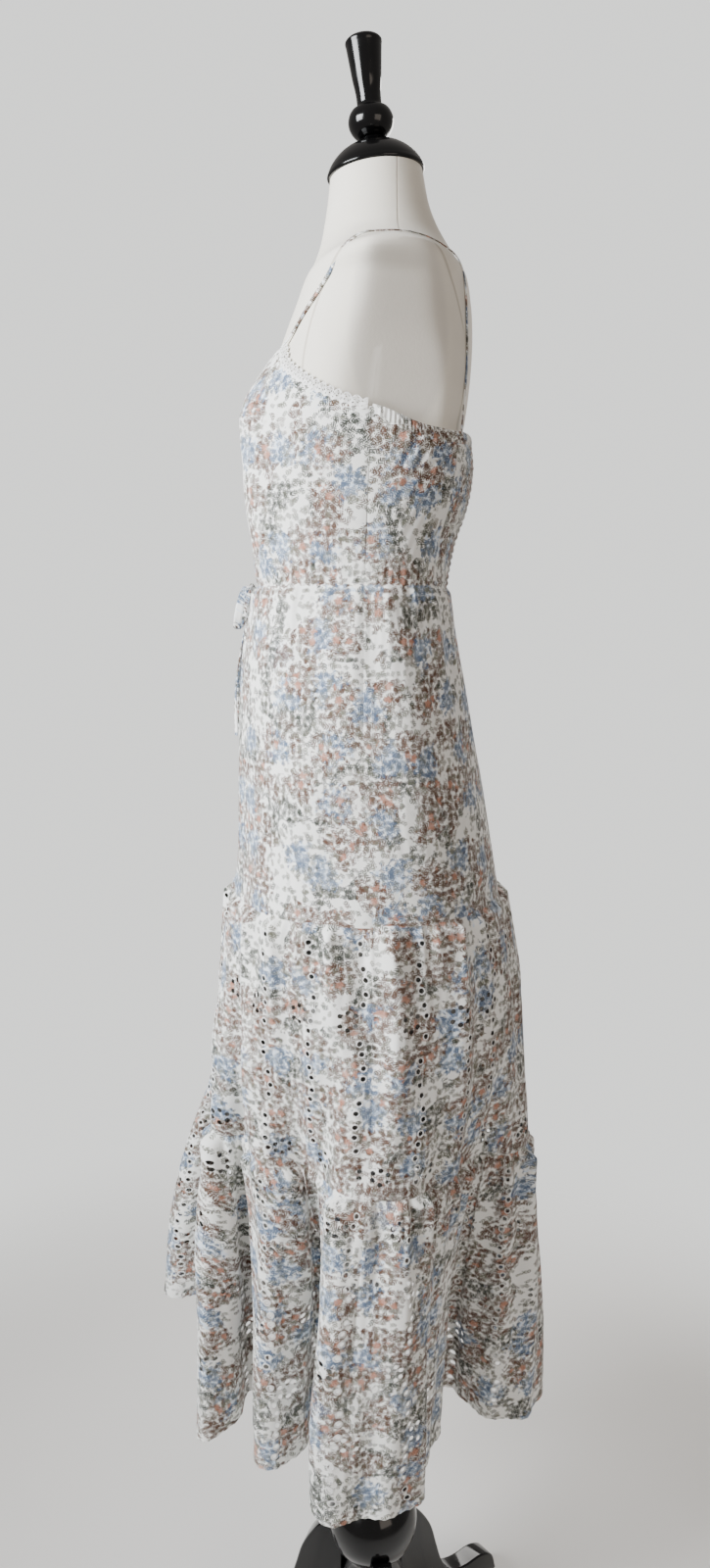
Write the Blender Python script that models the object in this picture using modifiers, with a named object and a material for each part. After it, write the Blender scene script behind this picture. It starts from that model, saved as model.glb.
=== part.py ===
"""Midi dress with thin straps and three gathered eyelet tiers, on a limbless dress form on a tripod stand.

Metres, +Z up, the wearer faces -Y and +X is the wearer's left. Every table below is measured from the
pole's axis, and the empty pole_axis moves the whole to its origin: on the floor, in the middle of the
bounding box.
"""
import math
from collections import namedtuple

import bmesh
import bpy
import numpy as np
from mathutils import Vector, geometry
from mathutils.bvhtree import BVHTree

# Driving sizes
POLE_FROM_ORIGIN = (0.0, 0.0435, 0.0)
SEAM_GAP = 0.0003
WAIST_Z = 1.345
SEAM_1_Z = 1.018
SEAM_2_Z = 0.738
HEM_Z = 0.385
LINING_HEM_Z = 0.775
SKIRT_WALL = 0.0015
BODICE_WALL = 0.0015
LINING_WALL = 0.0010
LACE_WALL = 0.0010
SEAM_2_SLOPE = -0.06
BUST_APART = 0.072
BUST_SPREAD = 0.036
FORM_BOTTOM_Z = 1.060
NECK_TOP_Z = 1.757
NECK_TILT = math.radians(6.0)
STRAP_WIDTH = 0.0046
STRAP_THICKNESS = 0.0012
STRAP_LIFT = 0.0008
STRAP_TUCK = 0.0009
STRAP_CLEARANCE = 0.0012
STRAP_END_SHARE = 0.14
STRAP_END_POWER = 1.5
STRAP_ROWS = 28
LIFT_PASSES = 12
LIFT_SHARE = 0.6
STRAP_FRONT_RISE = 0.0027
STRAP_BACK_RISE = 0.0007
KNOT_AHEAD = 0.0025
CASING_HEIGHT = 0.012
LACE_BELOW_EDGE = 0.009
LACE_ABOVE_EDGE = 0.0012
LACE_SCALLOP = 0.003
LACE_SCALLOPS = 17
LACE_OFF_CLOTH = 0.0005
LACE_FROM_SEAMS = 1.0
EYELET_RADIUS = 0.0027
ROSETTE_RADIUS = 0.0095
POLE_RADIUS = 0.0125
LEG_HALF_THICKNESS = 0.009
LEG_EDGE = 0.004
LEG_TURNS = (40.0, 160.0, 280.0)

# Sections across the form, bottom to top: the outline is an oval of the given power with two bust mounds
Section = namedtuple("Section", "z half_width front back side_y bust power")
FORM_SECTIONS = (
    Section(1.060, 0.1480, -0.1200, 0.0960, -0.012, 0.0000, 2.30),
    Section(1.075, 0.1600, -0.1320, 0.1055, -0.012, 0.0000, 2.30),
    Section(1.120, 0.1655, -0.1380, 0.1075, -0.010, 0.0000, 2.30),
    Section(1.180, 0.1605, -0.1365, 0.0975, -0.013, 0.0000, 2.30),
    Section(1.240, 0.1500, -0.1350, 0.0870, -0.014, 0.0000, 2.30),
    Section(1.300, 0.1325, -0.1275, 0.0740, -0.013, 0.0000, 2.30),
    Section(1.345, 0.1205, -0.1190, 0.0665, -0.012, 0.0000, 2.30),
    Section(1.392, 0.1255, -0.1210, 0.0745, -0.011, 0.0080, 2.35),
    Section(1.423, 0.1310, -0.1230, 0.0800, -0.010, 0.0120, 2.40),
    Section(1.465, 0.1375, -0.1210, 0.0850, -0.008, 0.0165, 2.45),
    Section(1.490, 0.1410, -0.1200, 0.0880, -0.007, 0.0170, 2.45),
    Section(1.515, 0.1425, -0.1180, 0.0925, -0.005, 0.0155, 2.40),
    Section(1.537, 0.1440, -0.1140, 0.0955, -0.003, 0.0115, 2.30),
    Section(1.554, 0.1460, -0.1100, 0.0973, -0.001, 0.0060, 2.20),
    Section(1.575, 0.1495, -0.1030, 0.0990, 0.001, 0.0000, 2.00),
    Section(1.600, 0.1565, -0.0940, 0.0995, 0.005, 0.0000, 1.85),
    Section(1.625, 0.1650, -0.0835, 0.0975, 0.009, 0.0000, 1.85),
    Section(1.648, 0.1730, -0.0738, 0.0921, 0.011, 0.0000, 1.85),
    Section(1.656, 0.1520, -0.0700, 0.0885, 0.012, 0.0000, 1.80),
    Section(1.666, 0.1240, -0.0655, 0.0845, 0.012, 0.0000, 1.80),
    Section(1.678, 0.0970, -0.0610, 0.0785, 0.011, 0.0000, 1.80),
    Section(1.690, 0.0770, -0.0572, 0.0716, 0.009, 0.0000, 1.85),
    Section(1.705, 0.0640, -0.0540, 0.0630, 0.006, 0.0000, 1.95),
    Section(1.725, 0.0550, -0.0506, 0.0545, 0.002, 0.0000, 2.00),
    Section(1.757, 0.0490, -0.0475, 0.0464, 0.000, 0.0000, 2.00),
)
BODICE_SECTIONS = (
    Section(1.345, 0.1280, -0.1265, 0.0750, -0.012, 0.0000, 2.30),
    Section(1.360, 0.1285, -0.1275, 0.0770, -0.012, 0.0030, 2.30),
    Section(1.392, 0.1310, -0.1270, 0.0835, -0.011, 0.0100, 2.35),
    Section(1.423, 0.1360, -0.1285, 0.0940, -0.010, 0.0130, 2.40),
    Section(1.465, 0.1425, -0.1260, 0.1000, -0.008, 0.0170, 2.45),
    Section(1.490, 0.1460, -0.1260, 0.0975, -0.007, 0.0185, 2.45),
    Section(1.515, 0.1475, -0.1260, 0.0980, -0.005, 0.0180, 2.40),
    Section(1.537, 0.1490, -0.1210, 0.1010, -0.003, 0.0135, 2.30),
    Section(1.554, 0.1510, -0.1150, 0.1025, -0.001, 0.0065, 2.20),
    Section(1.575, 0.1545, -0.1080, 0.1040, 0.001, 0.0000, 2.00),
    Section(1.600, 0.1615, -0.0990, 0.1045, 0.005, 0.0000, 1.85),
)
SKIRT_SECTIONS = (
    Section(0.385, 0.1800, -0.1700, 0.1700, 0.000, 0.0000, 2.20),
    Section(0.738, 0.1770, -0.1700, 0.1650, 0.000, 0.0000, 2.20),
    Section(0.860, 0.1800, -0.1710, 0.1590, 0.000, 0.0000, 2.20),
    Section(0.940, 0.1810, -0.1650, 0.1510, 0.000, 0.0000, 2.20),
    Section(1.018, 0.1800, -0.1535, 0.1345, -0.004, 0.0000, 2.20),
    Section(1.060, 0.1780, -0.1485, 0.1275, -0.006, 0.0000, 2.25),
    Section(1.120, 0.1750, -0.1475, 0.1180, -0.010, 0.0000, 2.30),
    Section(1.180, 0.1700, -0.1460, 0.1070, -0.013, 0.0000, 2.30),
    Section(1.240, 0.1580, -0.1430, 0.0950, -0.014, 0.0000, 2.30),
    Section(1.300, 0.1410, -0.1360, 0.0820, -0.013, 0.0000, 2.30),
    Section(1.345, 0.1280, -0.1265, 0.0750, -0.012, 0.0000, 2.30),
)

# The hem seen from above, from the wearer's left side seam round the back and then round the front
HemPoint = namedtuple("HemPoint", "x y rise")
BACK_HEM = (
    HemPoint(0.203, -0.030, -0.004),
    HemPoint(0.198, 0.008, 0.000),
    HemPoint(0.175, 0.042, 0.000),
    HemPoint(0.112, 0.063, 0.006),
    HemPoint(0.045, 0.073, 0.010),
    HemPoint(0.018, 0.096, 0.008),
    HemPoint(0.044, 0.124, 0.000),
    HemPoint(0.057, 0.153, -0.004),
    HemPoint(0.044, 0.183, -0.004),
    HemPoint(0.010, 0.199, 0.000),
    HemPoint(-0.022, 0.178, 0.008),
    HemPoint(-0.038, 0.140, 0.010),
    HemPoint(-0.064, 0.138, 0.006),
    HemPoint(-0.090, 0.170, -0.004),
    HemPoint(-0.122, 0.172, -0.004),
    HemPoint(-0.138, 0.140, 0.002),
    HemPoint(-0.116, 0.100, 0.010),
    HemPoint(-0.118, 0.070, 0.008),
    HemPoint(-0.160, 0.072, 0.000),
    HemPoint(-0.198, 0.062, -0.004),
    HemPoint(-0.203, 0.030, -0.002),
    HemPoint(-0.160, 0.010, 0.008),
    HemPoint(-0.145, -0.014, 0.008),
)
FRONT_HEM = (
    HemPoint(-0.180, -0.030, 0.002),
    HemPoint(-0.208, -0.050, -0.003),
    HemPoint(-0.206, -0.088, -0.002),
    HemPoint(-0.165, -0.110, 0.010),
    HemPoint(-0.156, -0.136, 0.012),
    HemPoint(-0.190, -0.165, 0.006),
    HemPoint(-0.210, -0.215, 0.002),
    HemPoint(-0.212, -0.265, 0.000),
    HemPoint(-0.190, -0.286, 0.000),
    HemPoint(-0.168, -0.262, 0.002),
    HemPoint(-0.162, -0.220, 0.008),
    HemPoint(-0.122, -0.184, 0.012),
    HemPoint(-0.068, -0.170, 0.010),
    HemPoint(-0.024, -0.168, 0.008),
    HemPoint(0.018, -0.192, 0.000),
    HemPoint(0.060, -0.208, -0.004),
    HemPoint(0.088, -0.194, -0.004),
    HemPoint(0.066, -0.164, 0.004),
    HemPoint(0.026, -0.146, 0.010),
    HemPoint(0.030, -0.124, 0.010),
    HemPoint(0.078, -0.128, 0.002),
    HemPoint(0.120, -0.131, -0.004),
    HemPoint(0.133, -0.108, -0.004),
    HemPoint(0.112, -0.084, 0.004),
    HemPoint(0.074, -0.070, 0.010),
    HemPoint(0.074, -0.050, 0.010),
    HemPoint(0.125, -0.052, 0.004),
    HemPoint(0.180, -0.062, -0.002),
    HemPoint(0.204, -0.052, -0.004),
)
# How far each height has gone from the smooth hang at the hips to the hem's folds
FoldShare = namedtuple("FoldShare", "z share")
FOLD_SHARES = (
    FoldShare(0.385, 1.00),
    FoldShare(0.488, 0.92),
    FoldShare(0.610, 0.70),
    FoldShare(0.738, 0.38),
    FoldShare(0.805, 0.22),
    FoldShare(0.900, 0.09),
    FoldShare(1.018, 0.02),
    FoldShare(1.100, 0.00),
    FoldShare(1.345, 0.00),
)
# The gathers of a tier stand out by these amounts, from its upper seam at 0 to its lower edge at 1
GatherDepth = namedtuple("GatherDepth", "down depth")
GATHER_DEPTHS = (
    GatherDepth(0.00, 0.0005),
    GatherDepth(0.08, 0.0022),
    GatherDepth(0.35, 0.0016),
    GatherDepth(0.70, 0.0009),
    GatherDepth(1.00, 0.0004),
)
# The lining hangs inside the skirt's outer line by these amounts
LiningInset = namedtuple("LiningInset", "z inset")
LINING_INSETS = (
    LiningInset(WAIST_Z - SEAM_GAP / 2, 0.0026),
    LiningInset(1.325, 0.0046),
    LiningInset(1.247, 0.0048),
    LiningInset(1.1815, 0.0048),
    LiningInset(1.100, 0.0048),
    LiningInset(1.018, 0.0052),
    LiningInset(0.920, 0.0070),
    LiningInset(0.820, 0.0100),
    LiningInset(LINING_HEM_Z, 0.0120),
)
Tier = namedtuple("Tier", "name top_z bottom_z gathers rows rosette_rows rosettes single_rows singles")
TIERS = (
    Tier("skirt_tier_1", WAIST_Z, SEAM_1_Z, 32, (0, 0.06, 0.3, 0.5, 0.75, 1), (), 0, (), 0),
    Tier("skirt_tier_2", SEAM_1_Z, SEAM_2_Z, 44, (0, 0.08, 0.35, 0.7, 1), (0.86,), 4, (), 0),
    Tier("skirt_tier_3", SEAM_2_Z, HEM_Z, 56, (0, 0.07, 0.4, 0.7, 1), (0.62,), 5, (0.9,), 6),
)
# An eyelet in fractional column and row numbers of its tier's grid
Eyelet = namedtuple("Eyelet", "across down half_width half_height")

# The top edge of the bodice by turn in degrees, 0 at the wearer's left side, 90 at the back and 270 in front
EdgePoint = namedtuple("EdgePoint", "turn z")
TOP_EDGE = (
    EdgePoint(90.0, 1.4955),
    EdgePoint(60.0, 1.4930),
    EdgePoint(40.0, 1.4910),
    EdgePoint(20.0, 1.4945),
    EdgePoint(0.0, 1.5090),
    EdgePoint(-8.0, 1.5145),
    EdgePoint(-25.0, 1.5300),
    EdgePoint(-45.0, 1.5520),
    EdgePoint(-60.0, 1.5720),
    EdgePoint(-66.0, 1.5640),
    EdgePoint(-76.0, 1.5330),
    EdgePoint(-90.0, 1.5050),
)
CUP_PEAK_TURN = -60.5
STRAP_BACK_TURN = 58.0
SMOCKED_TURN = 48.0
SMOCK_RIDGES = 10
SMOCK_HEIGHT = 0.0009
CASING_GATHERS = 24
CASING_GATHER_DEPTH = 0.0010
CASING_EDGE_SHARE = 0.5
FRONT_COLUMNS, FRONT_ROWS = 13, 8
SIDE_COLUMNS, SIDE_ROWS = 10, 6
SMOCKED_COLUMNS = 13

StrapPoint = namedtuple("StrapPoint", "x y z")
STRAP_ROUTE = (
    StrapPoint(0.0945, -0.0725, 1.600),
    StrapPoint(0.1160, -0.0570, 1.616),
    StrapPoint(0.1350, -0.0380, 1.635),
    StrapPoint(0.1440, -0.0120, 1.650),
    StrapPoint(0.1380, 0.0140, 1.660),
    StrapPoint(0.1220, 0.0400, 1.662),
    StrapPoint(0.1010, 0.0640, 1.656),
    StrapPoint(0.0830, 0.0820, 1.632),
    StrapPoint(0.0740, 0.0880, 1.600),
    StrapPoint(0.0730, 0.0920, 1.565),
    StrapPoint(0.0790, 0.0910, 1.530),
)

# Turned profiles, top to bottom
Turned = namedtuple("Turned", "radius z")
CAP_PROFILE = (
    Turned(0.0000, 0.0345),
    Turned(0.0140, 0.0340),
    Turned(0.0190, 0.0300),
    Turned(0.0300, 0.0250),
    Turned(0.0410, 0.0165),
    Turned(0.0485, 0.0060),
    Turned(0.0500, 0.0015),
    Turned(0.0490, 0.0000),
    Turned(0.0000, 0.0000),
)
FINIAL_PROFILE = (
    Turned(0.0000, 0.0930),
    Turned(0.0160, 0.0930),
    Turned(0.0185, 0.0905),
    Turned(0.0180, 0.0860),
    Turned(0.0150, 0.0580),
    Turned(0.0125, 0.0360),
    Turned(0.0130, 0.0300),
    Turned(0.0185, 0.0270),
    Turned(0.0225, 0.0200),
    Turned(0.0230, 0.0140),
    Turned(0.0205, 0.0070),
    Turned(0.0150, 0.0012),
    Turned(0.0125, 0.0000),
    Turned(0.0000, 0.0000),
)
HUB_PROFILE = (
    Turned(0.0000, 0.2760),
    Turned(0.0175, 0.2760),
    Turned(0.0185, 0.2740),
    Turned(0.0190, 0.2585),
    Turned(0.0350, 0.2474),
    Turned(0.0470, 0.2336),
    Turned(0.0550, 0.2050),
    Turned(0.0515, 0.1857),
    Turned(0.0450, 0.1734),
    Turned(0.0360, 0.1634),
    Turned(0.0360, 0.1000),
    Turned(0.0300, 0.0950),
    Turned(0.0000, 0.0920),
)
# A leg's side view: distance from the pole's axis and height
LegPoint = namedtuple("LegPoint", "reach z")
LEG_OUTLINE = (
    LegPoint(0.0363, 0.1010),
    LegPoint(0.0363, 0.1618),
    LegPoint(0.0458, 0.1730),
    LegPoint(0.0530, 0.1880),
    LegPoint(0.0640, 0.1850),
    LegPoint(0.0790, 0.1660),
    LegPoint(0.0920, 0.1420),
    LegPoint(0.1010, 0.1120),
    LegPoint(0.1120, 0.0780),
    LegPoint(0.1290, 0.0540),
    LegPoint(0.1560, 0.0430),
    LegPoint(0.1860, 0.0400),
    LegPoint(0.2080, 0.0280),
    LegPoint(0.2150, 0.0100),
    LegPoint(0.2120, 0.0000),
    LegPoint(0.1640, 0.0000),
    LegPoint(0.1380, 0.0080),
    LegPoint(0.1140, 0.0240),
    LegPoint(0.0940, 0.0500),
    LegPoint(0.0780, 0.0760),
    LegPoint(0.0560, 0.0960),
)
# The waist tie of the wearer's left side, from the knot
TiePoint = namedtuple("TiePoint", "x ahead z")
TIE_LOOP = (
    TiePoint(0.0084, 0.0065, 1.3425),
    TiePoint(0.0220, 0.0095, 1.3450),
    TiePoint(0.0350, 0.0115, 1.3340),
    TiePoint(0.0390, 0.0115, 1.3160),
    TiePoint(0.0310, 0.0110, 1.3010),
    TiePoint(0.0210, 0.0100, 1.3090),
    TiePoint(0.0150, 0.0080, 1.3240),
    TiePoint(0.0084, 0.0056, 1.3385),
)
TIE_TAIL = (
    TiePoint(0.0046, 0.0046, 1.3326),
    TiePoint(0.0050, 0.0050, 1.3000),
    TiePoint(0.0100, 0.0065, 1.2700),
    TiePoint(0.0150, 0.0075, 1.2400),
    TiePoint(0.0190, 0.0060, 1.2100),
    TiePoint(0.0200, 0.0045, 1.1860),
)
TIE_WIDTH = 0.0082
TIE_THICKNESS = 0.0012
KNOT_SIZE = (0.0150, 0.0090, 0.0170)
KNOT_BELOW_WAIST = 0.004
KNOT_SEGMENTS, KNOT_RINGS = 12, 8
LOOP_ROWS, TAIL_ROWS = 15, 10
TAIL_TWIST = (0.2, 0.9)
TAIL_TWIST_DEPTH = 0.35
FORM_COLUMNS = 32
LINING_COLUMNS = 36
TURNED_STEPS = 16
HEM_STEPS = 12
COLUMNS_PER_GATHER = 2
SHARP_ANGLE = math.radians(50.0)


def reset_scene():
    for item in list(bpy.data.objects):
        bpy.data.objects.remove(item, do_unlink=True)
    garment = bpy.data.collections.new("midi_dress_on_form")
    bpy.context.scene.collection.children.link(garment)
    origin = bpy.data.objects.new("pole_axis", None)
    origin.location = POLE_FROM_ORIGIN
    garment.objects.link(origin)
    return garment, origin


GARMENT, POLE_AXIS = reset_scene()


def make_material(name, color, roughness, metallic=0.0):
    material = bpy.data.materials.new(name)
    material.use_nodes = True
    shader = material.node_tree.nodes["Principled BSDF"]
    shader.inputs["Base Color"].default_value = (*color, 1.0)
    shader.inputs["Roughness"].default_value = roughness
    shader.inputs["Metallic"].default_value = metallic
    return material


PRINTED_COTTON = ("printed_cotton", (0.80, 0.80, 0.79), 0.85)
WHITE_COTTON = ("white_cotton", (0.88, 0.87, 0.84), 0.9)
IVORY_LINEN = ("ivory_linen", (0.80, 0.77, 0.70), 0.9)
BLACK_LACQUER = ("black_lacquer", (0.012, 0.012, 0.013), 0.18)
STEEL = ("steel", (0.55, 0.55, 0.55), 0.35, 1.0)


def add_object(name, data, finish):
    """Puts a mesh or curve in the garment's collection, on the pole's axis, with a material of its own."""
    item = bpy.data.objects.new(name, data)
    item.parent = POLE_AXIS
    data.materials.append(make_material(f"{name}_{finish[0]}", *finish[1:]))
    GARMENT.objects.link(item)
    return item


def smooth_value(knots, values, at):
    """A curve through the table's values, with a slope at each row taken from its neighbours."""
    knots = np.asarray(knots, float)
    values = np.asarray(values, float)
    slopes = np.gradient(values, knots)
    place = np.clip(np.searchsorted(knots, at) - 1, 0, len(knots) - 2)
    step = knots[place + 1] - knots[place]
    s = np.clip((at - knots[place]) / step, 0.0, 1.0)
    start = values[place] * (1 + 2 * s) * (1 - s) ** 2 + slopes[place] * step * s * (1 - s) ** 2
    end = values[place + 1] * s * s * (3 - 2 * s) + slopes[place + 1] * step * s * s * (s - 1)
    return start + end


def section_at(sections, z):
    heights = [row.z for row in sections]
    columns = list(zip(*sections))[1:]
    return Section(z, *(smooth_value(heights, column, z) for column in columns))


def oval_ring(sections, z, turns):
    """Points round a section at one height, for turns in radians from the wearer's left."""
    row = section_at(sections, z)
    cosine, sine = np.cos(turns), np.sin(turns)
    x = row.half_width * np.sign(cosine) * np.abs(cosine) ** (2 / row.power)
    reach = np.where(sine > 0, row.back - row.side_y, row.side_y - row.front)
    y = row.side_y + reach * np.sign(sine) * np.abs(sine) ** (2 / row.power)
    mound = np.exp(-(((np.abs(x) - BUST_APART) / BUST_SPREAD) ** 2))
    y = y - np.where(sine < 0, row.bust * mound, 0.0)
    return np.stack([x, y, np.full_like(x, z)], axis=-1)


def closed_grid_normals(points):
    """Outward normals of a closed tube of rings, top ring first."""
    across = np.roll(points, -1, axis=1) - np.roll(points, 1, axis=1)
    upward = -np.gradient(points, axis=0)
    normals = np.cross(across, upward)
    return normals / np.linalg.norm(normals, axis=-1, keepdims=True)


def open_grid_normals(points):
    """Outward normals of a sheet whose rows run top to bottom and whose columns run with the turn."""
    across = np.gradient(points, axis=1)
    upward = -np.gradient(points, axis=0)
    normals = np.cross(across, upward)
    return normals / np.linalg.norm(normals, axis=-1, keepdims=True)


def mesh_from(name, points, faces):
    mesh = bpy.data.meshes.new(name)
    mesh.from_pydata([tuple(map(float, point)) for point in points], [], faces)
    mesh.validate()
    return mesh


def loft_solid(name, rings, finish):
    """A closed solid through rings of the same count, bottom ring first, with flat ends."""
    rings = np.asarray(rings)
    count, columns = rings.shape[:2]
    faces = []
    for row in range(count - 1):
        for column in range(columns):
            following = (column + 1) % columns
            low, high = row * columns, (row + 1) * columns
            faces.append((low + column, low + following, high + following, high + column))
    faces.append(tuple(reversed(range(columns))))
    faces.append(tuple((count - 1) * columns + column for column in range(columns)))
    item = add_object(name, mesh_from(name, rings.reshape(-1, 3), faces), finish)
    item.data.shade_smooth()
    item.data.set_sharp_from_angle(angle=SHARP_ANGLE)
    return item


def grid_point(grid, across, down):
    """A point at fractional column and row numbers of a grid."""
    rows, columns = grid.shape[:2]
    column = min(int(across), columns - 2)
    row = min(int(down), rows - 2)
    s, t = across - column, down - row
    upper = grid[row, column] * (1 - s) + grid[row, column + 1] * s
    lower = grid[row + 1, column] * (1 - s) + grid[row + 1, column + 1] * s
    return upper * (1 - t) + lower * t


def in_eyelet(hole, across, down):
    return abs(across - hole.across) / hole.half_width + abs(down - hole.down) / hole.half_height < 1.0


def sheet_wall(name, outer, inner, finish, holes=()):
    """A closed wall between two sheets of the same grid, cut through by the eyelets.

    The sheet is triangulated flat, at its mean spacing, with an edge along every column so that the folds
    stay, and the same triangles are used outside and inside.
    """
    rows, columns = outer.shape[:2]
    wide = np.linalg.norm(np.diff(outer, axis=1), axis=-1).mean()
    tall = np.linalg.norm(np.diff(outer, axis=0), axis=-1).mean()
    flat = [Vector((column * wide, row * tall)) for row in range(rows) for column in range(columns)]
    edges = [(spot, spot + columns) for spot in range((rows - 1) * columns)]
    edges += [(spot, spot + 1) for spot in range(columns - 1)]
    edges += [(spot, spot + 1) for spot in range((rows - 1) * columns, rows * columns - 1)]
    for hole in holes:
        first = len(flat)
        for x, y in ((-1, 0), (0, -1), (1, 0), (0, 1)):
            corner = (hole.across + x * hole.half_width, hole.down + y * hole.half_height)
            flat.append(Vector((corner[0] * wide, corner[1] * tall)))
        edges += [(first, first + 1), (first + 1, first + 2), (first + 2, first + 3), (first + 3, first)]
    spots, _, pieces, *_ = geometry.delaunay_2d_cdt(flat, edges, [], 0, 1e-7)
    places = [(spot.x / wide, spot.y / tall) for spot in spots]
    triangles = []
    for triangle in pieces:
        across = sum(places[corner][0] for corner in triangle) / 3
        down = sum(places[corner][1] for corner in triangle) / 3
        if not any(in_eyelet(hole, across, down) for hole in holes):
            triangles.append(tuple(triangle))
    points = [grid_point(outer, *place) for place in places]
    points += [grid_point(inner, *place) for place in places]
    inside = len(places)
    faces = []
    used = set()
    for a, b, c in triangles:
        # Rows run downwards, so a triangle that is right way up on paper faces in.
        faces.append((a, c, b))
        faces.append((inside + a, inside + b, inside + c))
        used.update(((a, b), (b, c), (c, a)))
    for start, end in sorted(used):
        if (end, start) not in used:
            faces.append((start, end, inside + end, inside + start))
    item = add_object(name, mesh_from(name, points, faces), finish)
    loose = bmesh.new()
    loose.from_mesh(item.data)
    bmesh.ops.delete(loose, geom=[spot for spot in loose.verts if not spot.link_faces], context="VERTS")
    loose.to_mesh(item.data)
    loose.free()
    item.data.shade_smooth()
    item.data.set_sharp_from_angle(angle=SHARP_ANGLE)
    return item


def part_seam(outer, inner):
    """Draws both side edges of a sheet back by half a seam gap."""
    for grid in (outer, inner):
        for edge, neighbour in ((0, 1), (-1, -2)):
            along = grid[:, neighbour] - grid[:, edge]
            along /= np.linalg.norm(along, axis=-1, keepdims=True)
            grid[:, edge] += along * SEAM_GAP / 2


def spline_round(points):
    """A closed smooth curve through points, as HEM_STEPS points for each."""
    count = len(points)
    fine = []
    for number in range(count):
        a, b, c, d = (points[(number + step) % count] for step in (-1, 0, 1, 2))
        for s in np.linspace(0, 1, HEM_STEPS, endpoint=False):
            second = 2 * a - 5 * b + 4 * c - d
            third = 3 * b - a - 3 * c + d
            fine.append(0.5 * (2 * b + (c - a) * s + second * s**2 + third * s**3))
    return np.array(fine)


def hem_by_turn():
    """The hem's outline, each half turn spread evenly by length over the back or the front points."""
    rows = [np.array(row) for row in BACK_HEM + FRONT_HEM]
    fine = spline_round(rows)
    far_seam = len(BACK_HEM) * HEM_STEPS
    fine = np.concatenate([fine, fine[:1]])
    steps = np.linalg.norm(np.diff(fine[:, :2], axis=0), axis=1)
    length = np.concatenate([[0], np.cumsum(steps)])
    turn = np.interp(length, [0.0, length[far_seam], length[-1]], [0.0, 0.5, 1.0])
    return turn, fine


HEM_TURNS, HEM_LINE = hem_by_turn()


def hem_ring(turns):
    """Hem points for turns in radians."""
    share = np.mod(turns / (2 * math.pi), 1.0)
    return np.stack([np.interp(share, HEM_TURNS, HEM_LINE[:, axis]) for axis in range(3)], axis=-1)


def skirt_ring(z, turns):
    """The skirt's smooth outer line at one height, before its gathers."""
    share = smooth_value([row.z for row in FOLD_SHARES], [row.share for row in FOLD_SHARES], z)
    plain = oval_ring(SKIRT_SECTIONS, z, turns)
    hem = hem_ring(turns)
    ring = plain * (1 - share)
    ring[:, :2] += hem[:, :2] * share
    slope = SEAM_2_SLOPE * np.interp(z, [HEM_Z, SEAM_2_Z, SEAM_1_Z], [0.0, 1.0, 0.0])
    lift = hem[:, 2] * np.interp(z, [HEM_Z, SEAM_2_Z], [1.0, 0.0])
    ring[:, 2] = z + slope * ring[:, 1] + lift
    return ring


def down_number(share, rows):
    """The fractional row number of a share of the tier's height."""
    return float(np.interp(share, rows, range(len(rows))))


def tier_holes(tier, outer):
    """Rosettes of six eyelets and single ones, evenly spaced across half a tier, each cut as a diamond."""
    rows, columns = outer.shape[:2]
    holes = []

    def punch(across, down, turns):
        row, column = min(int(down), rows - 2), min(int(across), columns - 2)
        wide = np.linalg.norm(grid_point(outer, column + 1, down) - grid_point(outer, column, down))
        tall = np.linalg.norm(outer[row + 1, column] - outer[row, column])
        for turn in turns:
            sideways = across + ROSETTE_RADIUS / wide * math.cos(turn)
            downward = down + ROSETTE_RADIUS / tall * math.sin(turn)
            holes.append(Eyelet(sideways, downward, EYELET_RADIUS / wide, EYELET_RADIUS / tall))

    petals = [math.radians(60 * petal + 30) for petal in range(6)]
    for share in tier.rosette_rows:
        for number in range(tier.rosettes):
            punch((number + 0.5) / tier.rosettes * (columns - 1), down_number(share, tier.rows), petals)
    for share in tier.single_rows:
        for number in range(tier.singles):
            punch((number + 0.25) / tier.singles * (columns - 1), down_number(share, tier.rows), petals[:1])
    return holes


def build_halves(name, outer, inner, finish, find_holes=lambda outside: ()):
    """Cuts a tube at the side seams and makes its back and its front half."""
    columns = outer.shape[1]
    half = columns // 2
    for side, first in (("back", 0), ("front", half)):
        picked = np.arange(first, first + half + 1) % columns
        outside, inside = outer[:, picked].copy(), inner[:, picked].copy()
        part_seam(outside, inside)
        sheet_wall(f"{name}_{side}", outside, inside, finish, find_holes(outside))


def build_skirt():
    for tier in TIERS:
        columns = tier.gathers * COLUMNS_PER_GATHER
        turns = np.arange(columns) / columns * 2 * math.pi
        heights = [tier.top_z + (tier.bottom_z - tier.top_z) * share for share in tier.rows]
        smooth = np.stack([skirt_ring(z, turns) for z in heights])
        normals = closed_grid_normals(smooth)
        downs = [row.down for row in GATHER_DEPTHS]
        depths = np.interp(tier.rows, downs, [row.depth for row in GATHER_DEPTHS])
        waves = np.where(np.arange(columns) % 2, -1.0, 1.0)
        outer = smooth + normals * (depths[:, None] * waves[None, :])[..., None]
        inner = outer - normals * SKIRT_WALL
        for grid in (outer, inner):
            seam_rows = ((0, tier.top_z, -SEAM_GAP / 2), (-1, tier.bottom_z, SEAM_GAP / 2))
            for row, seam_z, gap in seam_rows:
                if seam_z != HEM_Z:
                    slope = SEAM_2_SLOPE if seam_z == SEAM_2_Z else 0.0
                    grid[row, :, 2] = seam_z + slope * grid[row, :, 1] + gap
        build_halves(tier.name, outer, inner, PRINTED_COTTON, lambda outside: tier_holes(tier, outside))


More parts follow.
